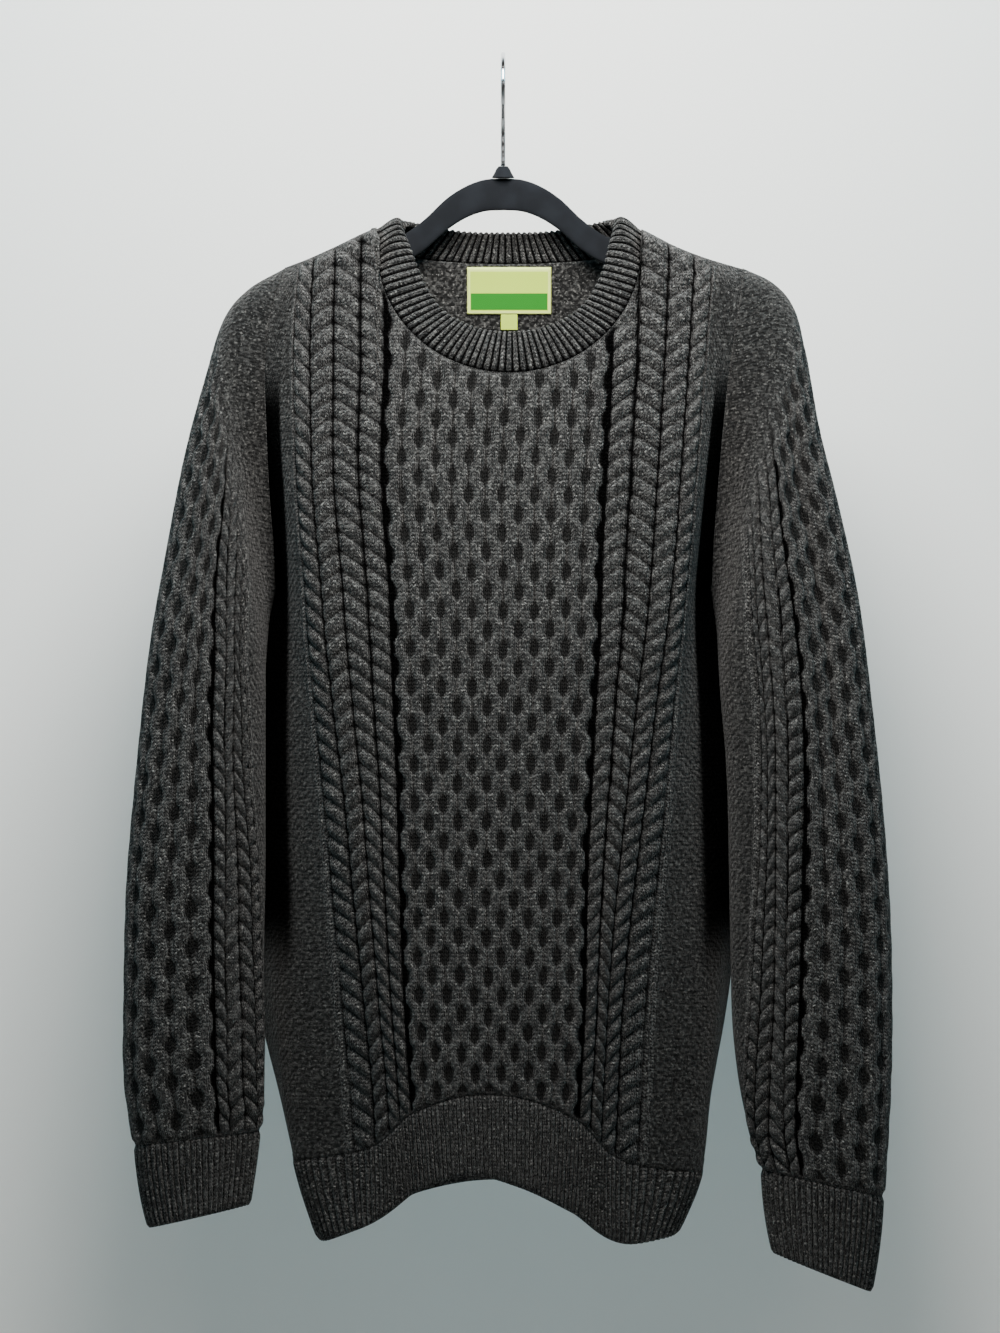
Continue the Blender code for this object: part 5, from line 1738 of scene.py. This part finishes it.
@dataclass(frozen=True)
class WoolFinish:
    """Heathered wool: a dark ground with lighter and darker fibres, a soft sheen, and painted shade in
    the hollows and behind the sleeves.
    """

    ground: tuple[float, float, float, float] = (0.0080, 0.0080, 0.0080, 1.0)
    light: tuple[float, float, float, float] = (0.062, 0.062, 0.0605, 1.0)
    pale: tuple[float, float, float, float] = (0.180, 0.180, 0.172, 1.0)
    dark: tuple[float, float, float, float] = (0.0015, 0.0015, 0.0015, 1.0)
    hollow_painted_shade: float = 0.02            # painted shade: how dark the bottom of a channel is
    stitch_width: float = 3.4
    stitch_height: float = 2.9
    stitch_depth: float = 1.6
    moss_width: float = 3.4
    moss_height: float = 3.15
    roughness: float = 0.95
    gloss: float = 0.2
    sheen: float = 0.12
    sheen_roughness: float = 0.5

    def heather_group(self) -> bpy.types.NodeTree:
        """Make the group that mixes the fibres' colours and darkens them by the height attribute, as
        painted shade.

        Returns:
            The group.
        """
        group = bpy.data.node_groups.new("heather_colour_painted_shade", "ShaderNodeTree")
        group.interface.new_socket("Height", in_out="INPUT", socket_type="NodeSocketFloat")
        group.interface.new_socket("Color", in_out="OUTPUT", socket_type="NodeSocketColor")
        graph = Graph(group)
        given = graph.node("NodeGroupInput")
        place = graph.node("ShaderNodeTexCoord").outputs["Object"]
        fibre = graph.ramp(graph.noise(place, 330.0, 2.0), 0.44, 0.58)
        fleck = graph.ramp(graph.noise(place, 500.0, 1.0), 0.60, 0.70)
        speck = graph.ramp(graph.noise(place, 380.0, 1.0), 0.44, 0.36)
        colour = graph.mix(fibre, self.ground, self.light)
        colour = graph.mix(fleck, colour, self.pale)
        colour = graph.mix(speck, colour, self.dark)
        # Painted shade: the height attribute mixes the colour towards near black.
        depth = graph.ramp(given.outputs["Height"], 0.04, 0.72)
        shade = graph.math("ADD", self.hollow_painted_shade, graph.math("MULTIPLY", depth, 1 - self.hollow_painted_shade))
        shaded = graph.mix(shade, (0.0015, 0.0015, 0.0015, 1.0), colour)
        graph.node("NodeGroupOutput", {"Color": shaded})
        return group

    def stitch_group(self) -> bpy.types.NodeTree:
        """Make the group that gives the height of single stitches.

        A knit stitch is half a sine across its width times one along its height, and leans
        outwards from the middle of its column. Moss is a chequer of round bumps.

        Returns:
            The group.
        """
        group = bpy.data.node_groups.new("stitch_height", "ShaderNodeTree")
        group.interface.new_socket("Moss", in_out="INPUT", socket_type="NodeSocketFloat")
        group.interface.new_socket("Value", in_out="OUTPUT", socket_type="NodeSocketFloat")
        graph = Graph(group)
        given = graph.node("NodeGroupInput")
        cloth = graph.node("ShaderNodeUVMap", uv_map="cloth").outputs[0]
        object_place = graph.node("ShaderNodeTexCoord").outputs["Object"]
        parts = graph.node("ShaderNodeSeparateXYZ", {0: cloth})
        u, v = parts.outputs[0], parts.outputs[1]
        wobble = graph.math("MULTIPLY", graph.noise(object_place, 90.0), 0.0045)
        u, v = graph.math("ADD", u, wobble), graph.math("ADD", v, wobble)
        column = graph.math("PINGPONG", graph.math("DIVIDE", u, self.stitch_width * MM / 2), 1.0)
        lean = graph.math("MULTIPLY", column, 0.55)
        row = graph.math("ADD", graph.math("DIVIDE", v, self.stitch_height * MM), lean)
        loop = graph.math("ABSOLUTE", graph.math("SINE", graph.math("MULTIPLY", row, math.pi)))
        leg = graph.math("SINE", graph.math("MULTIPLY", column, math.pi))
        knit = graph.math("MULTIPLY", graph.math("POWER", loop, 0.6), graph.math("POWER", leg, 0.5))
        wide = graph.math("SINE", graph.math("MULTIPLY", u, math.pi / (self.moss_width * MM)))
        tall = graph.math("SINE", graph.math("MULTIPLY", v, math.pi / (self.moss_height * MM)))
        chequer = graph.math("MULTIPLY", graph.math("MULTIPLY", wide, tall), 0.22)
        ridge = graph.math("MULTIPLY", graph.math("ABSOLUTE", tall), 0.22)
        rough = graph.math("MULTIPLY", graph.noise(object_place, 300.0, 1.0), 1.5)
        bump = graph.math("ADD", graph.math("ADD", ridge, chequer), rough)
        both = graph.node("ShaderNodeMix", {"Factor": given.outputs["Moss"], 2: knit, 3: bump})
        fuzz = graph.math("MULTIPLY", graph.noise(object_place, 2200.0), 0.5)
        graph.node("NodeGroupOutput", {"Value": graph.math("ADD", both.outputs[0], fuzz)})
        return group

    def make(self) -> bpy.types.Material:
        """Make the wool's material.

        Returns:
            The material.
        """
        material, graph, shader = new_material("heather_wool")
        height = graph.node("ShaderNodeAttribute", attribute_name="height").outputs["Fac"]
        moss = graph.node("ShaderNodeAttribute", attribute_name="moss").outputs["Fac"]
        colour = graph.node("ShaderNodeGroup", node_tree=self.heather_group())
        stitch = graph.node("ShaderNodeGroup", node_tree=self.stitch_group())
        graph.feed(colour, {"Height": height})
        graph.feed(stitch, {"Moss": moss})
        bump = graph.node("ShaderNodeBump", {"Strength": 1.0, "Distance": self.stitch_depth * MM,
                                             "Height": stitch.outputs["Value"]})
        # Gloss and sheen are turned down by the same painted shade, so that hollows and the cloth
        # behind the sleeves stay dark.
        open_to_light = graph.ramp(height, 0.0, 0.4)
        graph.feed(shader, {
            "Base Color": colour.outputs["Color"],
            "Normal": bump.outputs[0],
            "Roughness": self.roughness,
            "Specular IOR Level": graph.math("MULTIPLY", open_to_light, self.gloss),
            "Sheen Weight": graph.math("MULTIPLY", open_to_light, self.sheen),
            "Sheen Roughness": self.sheen_roughness,
        })
        return material


@dataclass(frozen=True)
class LabelFinish:
    """Cream woven ribbon, with a plain band of green low on the label and a paler border."""

    cream: tuple[float, float, float, float] = (0.56, 0.76, 0.07, 1.0)
    border: tuple[float, float, float, float] = (0.70, 0.84, 0.22, 1.0)
    green: tuple[float, float, float, float] = (0.006, 0.20, 0.003, 1.0)
    band_from: float = 19.5
    band_to: float = 33.0
    margin: float = 2.6
    edge_width: float = 0.4         # over which one colour turns into the next
    thread_turn: float = 9000.0     # how many radians the weave turns in a metre

    def make(self, name: str, banded: bool) -> bpy.types.Material:
        """Make a label's material.

        Args:
            name: The material's name.
            banded: Whether it has the border and the band.

        Returns:
            The material.
        """
        material, graph, shader = new_material(name)
        cloth = graph.node("ShaderNodeUVMap", uv_map="cloth").outputs[0]
        parts = graph.node("ShaderNodeSeparateXYZ", {0: cloth})
        across, down = parts.outputs[0], parts.outputs[1]
        threads = [graph.math("SINE", graph.math("MULTIPLY", place, self.thread_turn))
                   for place in (across, down)]
        weave = graph.math("MULTIPLY", *threads)
        colour = graph.node("ShaderNodeRGB").outputs[0]
        colour.default_value = self.cream
        if banded:
            away = graph.math("ABSOLUTE", across)

            def edge(place: bpy.types.NodeSocket, at: float, way: int) -> bpy.types.NodeSocket:
                """Turn a place to 1 beyond an edge, on the side that way points to."""
                return graph.ramp(place, at * MM, (at + way * self.edge_width) * MM)

            inner = LABEL_WIDTH / 2 - self.margin
            in_height = graph.math("MULTIPLY", edge(down, self.band_from, 1),
                                   edge(down, self.band_to, -1))
            band = graph.math("MULTIPLY", edge(away, inner, -1), in_height)
            colour = graph.mix(band, colour, self.green)
            ends = graph.math("MAXIMUM", edge(down, self.margin, -1),
                              edge(down, LABEL_HEIGHT - self.margin, 1))
            rim = graph.math("MAXIMUM", edge(away, inner, 1), ends)
            colour = graph.mix(rim, colour, self.border)
        bump = graph.node("ShaderNodeBump", {"Strength": 0.4, "Distance": 0.0003, "Height": weave})
        graph.feed(shader, {"Base Color": colour, "Normal": bump.outputs[0], "Roughness": 0.75})
        return material


@dataclass(frozen=True)
class VelvetFinish:
    """Black flocking: nearly black, with a short pale sheen."""

    colour: tuple[float, float, float, float] = (0.007, 0.008, 0.010, 1.0)
    sheen: float = 0.05
    sheen_roughness: float = 0.35

    def make(self) -> bpy.types.Material:
        """Make the velvet's material.

        Returns:
            The material.
        """
        material, graph, shader = new_material("black_velvet")
        place = graph.node("ShaderNodeTexCoord").outputs["Object"]
        nap = graph.noise(place, 1800.0, 3.0)
        patch = graph.ramp(graph.noise(place, 60.0, 2.0), 0.35, 0.7)
        paler = tuple(1.8 * part for part in self.colour[:3]) + (1.0,)
        colour = graph.mix(graph.math("MULTIPLY", patch, 0.5), self.colour, paler)
        bump = graph.node("ShaderNodeBump", {"Strength": 0.35, "Distance": 0.0004, "Height": nap})
        graph.feed(shader, {
            "Base Color": colour,
            "Normal": bump.outputs[0],
            "Roughness": 0.9,
            "Specular IOR Level": 0.12,
            "Sheen Weight": self.sheen,
            "Sheen Roughness": self.sheen_roughness,
        })
        return material


@dataclass(frozen=True)
class SteelFinish:
    """Polished plated wire."""

    colour: tuple[float, float, float, float] = (0.62, 0.62, 0.64, 1.0)
    smooth: float = 0.12
    worn: float = 0.26

    def make(self) -> bpy.types.Material:
        """Make the steel's material.

        Returns:
            The material.
        """
        material, graph, shader = new_material("polished_steel")
        place = graph.node("ShaderNodeTexCoord").outputs["Object"]
        wear = graph.ramp(graph.noise(place, 220.0, 3.0), 0.4, 0.7)
        rough = graph.math("ADD", self.smooth, graph.math("MULTIPLY", wear, self.worn - self.smooth))
        graph.feed(shader, {"Base Color": self.colour, "Roughness": rough, "Metallic": 1.0})
        return material


@dataclass(frozen=True)
class Studio:
    """A pale backdrop, soft lights and the camera at the photo's angle."""

    backdrop: tuple[float, float, float, float] = (0.92, 0.92, 0.90, 1.0)
    wall: float = 0.24
    floor: float = -1.6
    corner: float = 0.5
    camera_distance: float = 8.0
    view_height: float = 1.0464
    centre: tuple[float, float] = (-0.0024, -0.4786)

    def build_backdrop(self) -> None:
        """Make one sheet that runs along the floor, up a round corner and up the wall.

        It is clear from behind, so that the back can be looked at too.
        """
        turn = np.linspace(0, np.pi / 2, 24)
        y = np.concatenate([[-9.0], self.wall - self.corner + self.corner * np.sin(turn), [self.wall]])
        z = np.concatenate([[self.floor], self.floor + self.corner * (1 - np.cos(turn)), [3.0]])
        x = np.array([-4.0, 4.0])
        points = np.stack([np.broadcast_to(x, (len(y), 2)), np.broadcast_to(y[:, None], (len(y), 2)),
                           np.broadcast_to(z[:, None], (len(y), 2))], axis=-1).reshape(-1, 3)
        material, graph, shader = new_material("pale_backdrop")
        graph.feed(shader, {"Base Color": self.backdrop, "Roughness": 0.95})
        from_behind = graph.node("ShaderNodeNewGeometry").outputs["Backfacing"]
        clear = graph.node("ShaderNodeBsdfTransparent").outputs[0]
        either = graph.node("ShaderNodeMixShader", {0: from_behind, 1: shader.outputs[0], 2: clear})
        graph.feed(material.node_tree.nodes["Material Output"], {"Surface": either.outputs[0]})
        quads = net_quads(np.arange(len(points)).reshape(-1, 2), True)
        sheet = make_mesh("backdrop", points / MM, [quads], [quads], points[:, :2] / MM, {}, material)

    def build_lights(self) -> None:
        """Add a soft light high in front, a weak cool one at each side and a pale sky."""
        lights = (
            ("key", (0.0, -0.66, 0.42), (54.0, 0.0, 0.0), 0.5, 32.0, (1.0, 0.965, 0.92)),
            ("left_fill", (-1.0, -0.35, 0.45), (72.0, 0.0, -71.0), 0.6, 8.0, (0.45, 0.86, 1.0)),
            ("right_fill", (1.0, -0.35, 0.45), (72.0, 0.0, 71.0), 0.6, 8.0, (0.45, 0.86, 1.0)),
        )
        for name, place, turn, size, power, tint in lights:
            light = bpy.data.lights.new(name, "AREA")
            light.size = size
            light.energy = power
            light.color = tint
            lamp = bpy.data.objects.new(name, light)
            lamp.location = place
            lamp.rotation_euler = [math.radians(part) for part in turn]
            bpy.context.scene.collection.objects.link(lamp)
        world = bpy.data.worlds.new("pale_sky")
        world.use_nodes = True
        sky = world.node_tree.nodes["Background"]
        sky.inputs[0].default_value = (1.0, 0.97, 0.94, 1.0)
        sky.inputs[1].default_value = 0.06
        bpy.context.scene.world = world

    def build_camera(self) -> None:
        """Place the camera level in front of the sweater, so that it is framed as in the photo."""
        camera = bpy.data.cameras.new("camera")
        camera.sensor_fit = "VERTICAL"
        camera.sensor_height = 36.0
        camera.lens = 36.0 * self.camera_distance / self.view_height
        viewer = bpy.data.objects.new("camera", camera)
        viewer.location = (self.centre[0], -self.camera_distance, self.centre[1])
        viewer.rotation_euler = (math.pi / 2, 0.0, 0.0)
        bpy.context.scene.collection.objects.link(viewer)
        bpy.context.scene.camera = viewer


def main() -> None:
    """Build the looks over the CAD frame, in order, and log the wool, label and hanger steps."""
    logging.basicConfig(level=logging.INFO, format="%(name)s: %(message)s")
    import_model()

    wool = WoolFinish().make()
    front = Panel(Side.FRONT, 85, 276)
    back = Panel(Side.BACK, 55, 180)
    for piece in (front, back, Hem(Side.FRONT, 104, 18), Hem(Side.BACK, 104, 18)):
        piece.build(wool)
    for hand, rings, cuff in ((Hand.LEFT, LEFT_SLEEVE, LEFT_CUFF),
                              (Hand.RIGHT, RIGHT_SLEEVE, RIGHT_CUFF)):
        cloth = SleeveCloth(rings, hand)
        Sleeve(cloth, 204, 336).build(wool)
        Cuff(cloth, cuff, 18).build(wool)
    Neckband(front, back).build(wool)
    LOG.info("wool pieces built")

    label = LabelFinish()
    Patch("neck_label", LABEL_X, LABEL_TOP, LABEL_WIDTH, LABEL_HEIGHT).build(
        label.make("woven_label", True))
    Patch("size_tab", LABEL_X, LABEL_TOP + LABEL_HEIGHT + SEAM_GAP, TAB_WIDTH, TAB_HEIGHT).build(
        label.make("woven_tab", False))
    velvet = VelvetFinish().make()
    hanger = Hanger()
    hanger.build_body(velvet)
    hanger.build_hub(velvet)
    hanger.build_hook(SteelFinish().make())
    LOG.info("labels and hanger built")

    studio = Studio()
    studio.build_backdrop()
    studio.build_lights()
    studio.build_camera()
    LOG.info("studio built and sizes written")


if __name__ == "__main__":
    main()
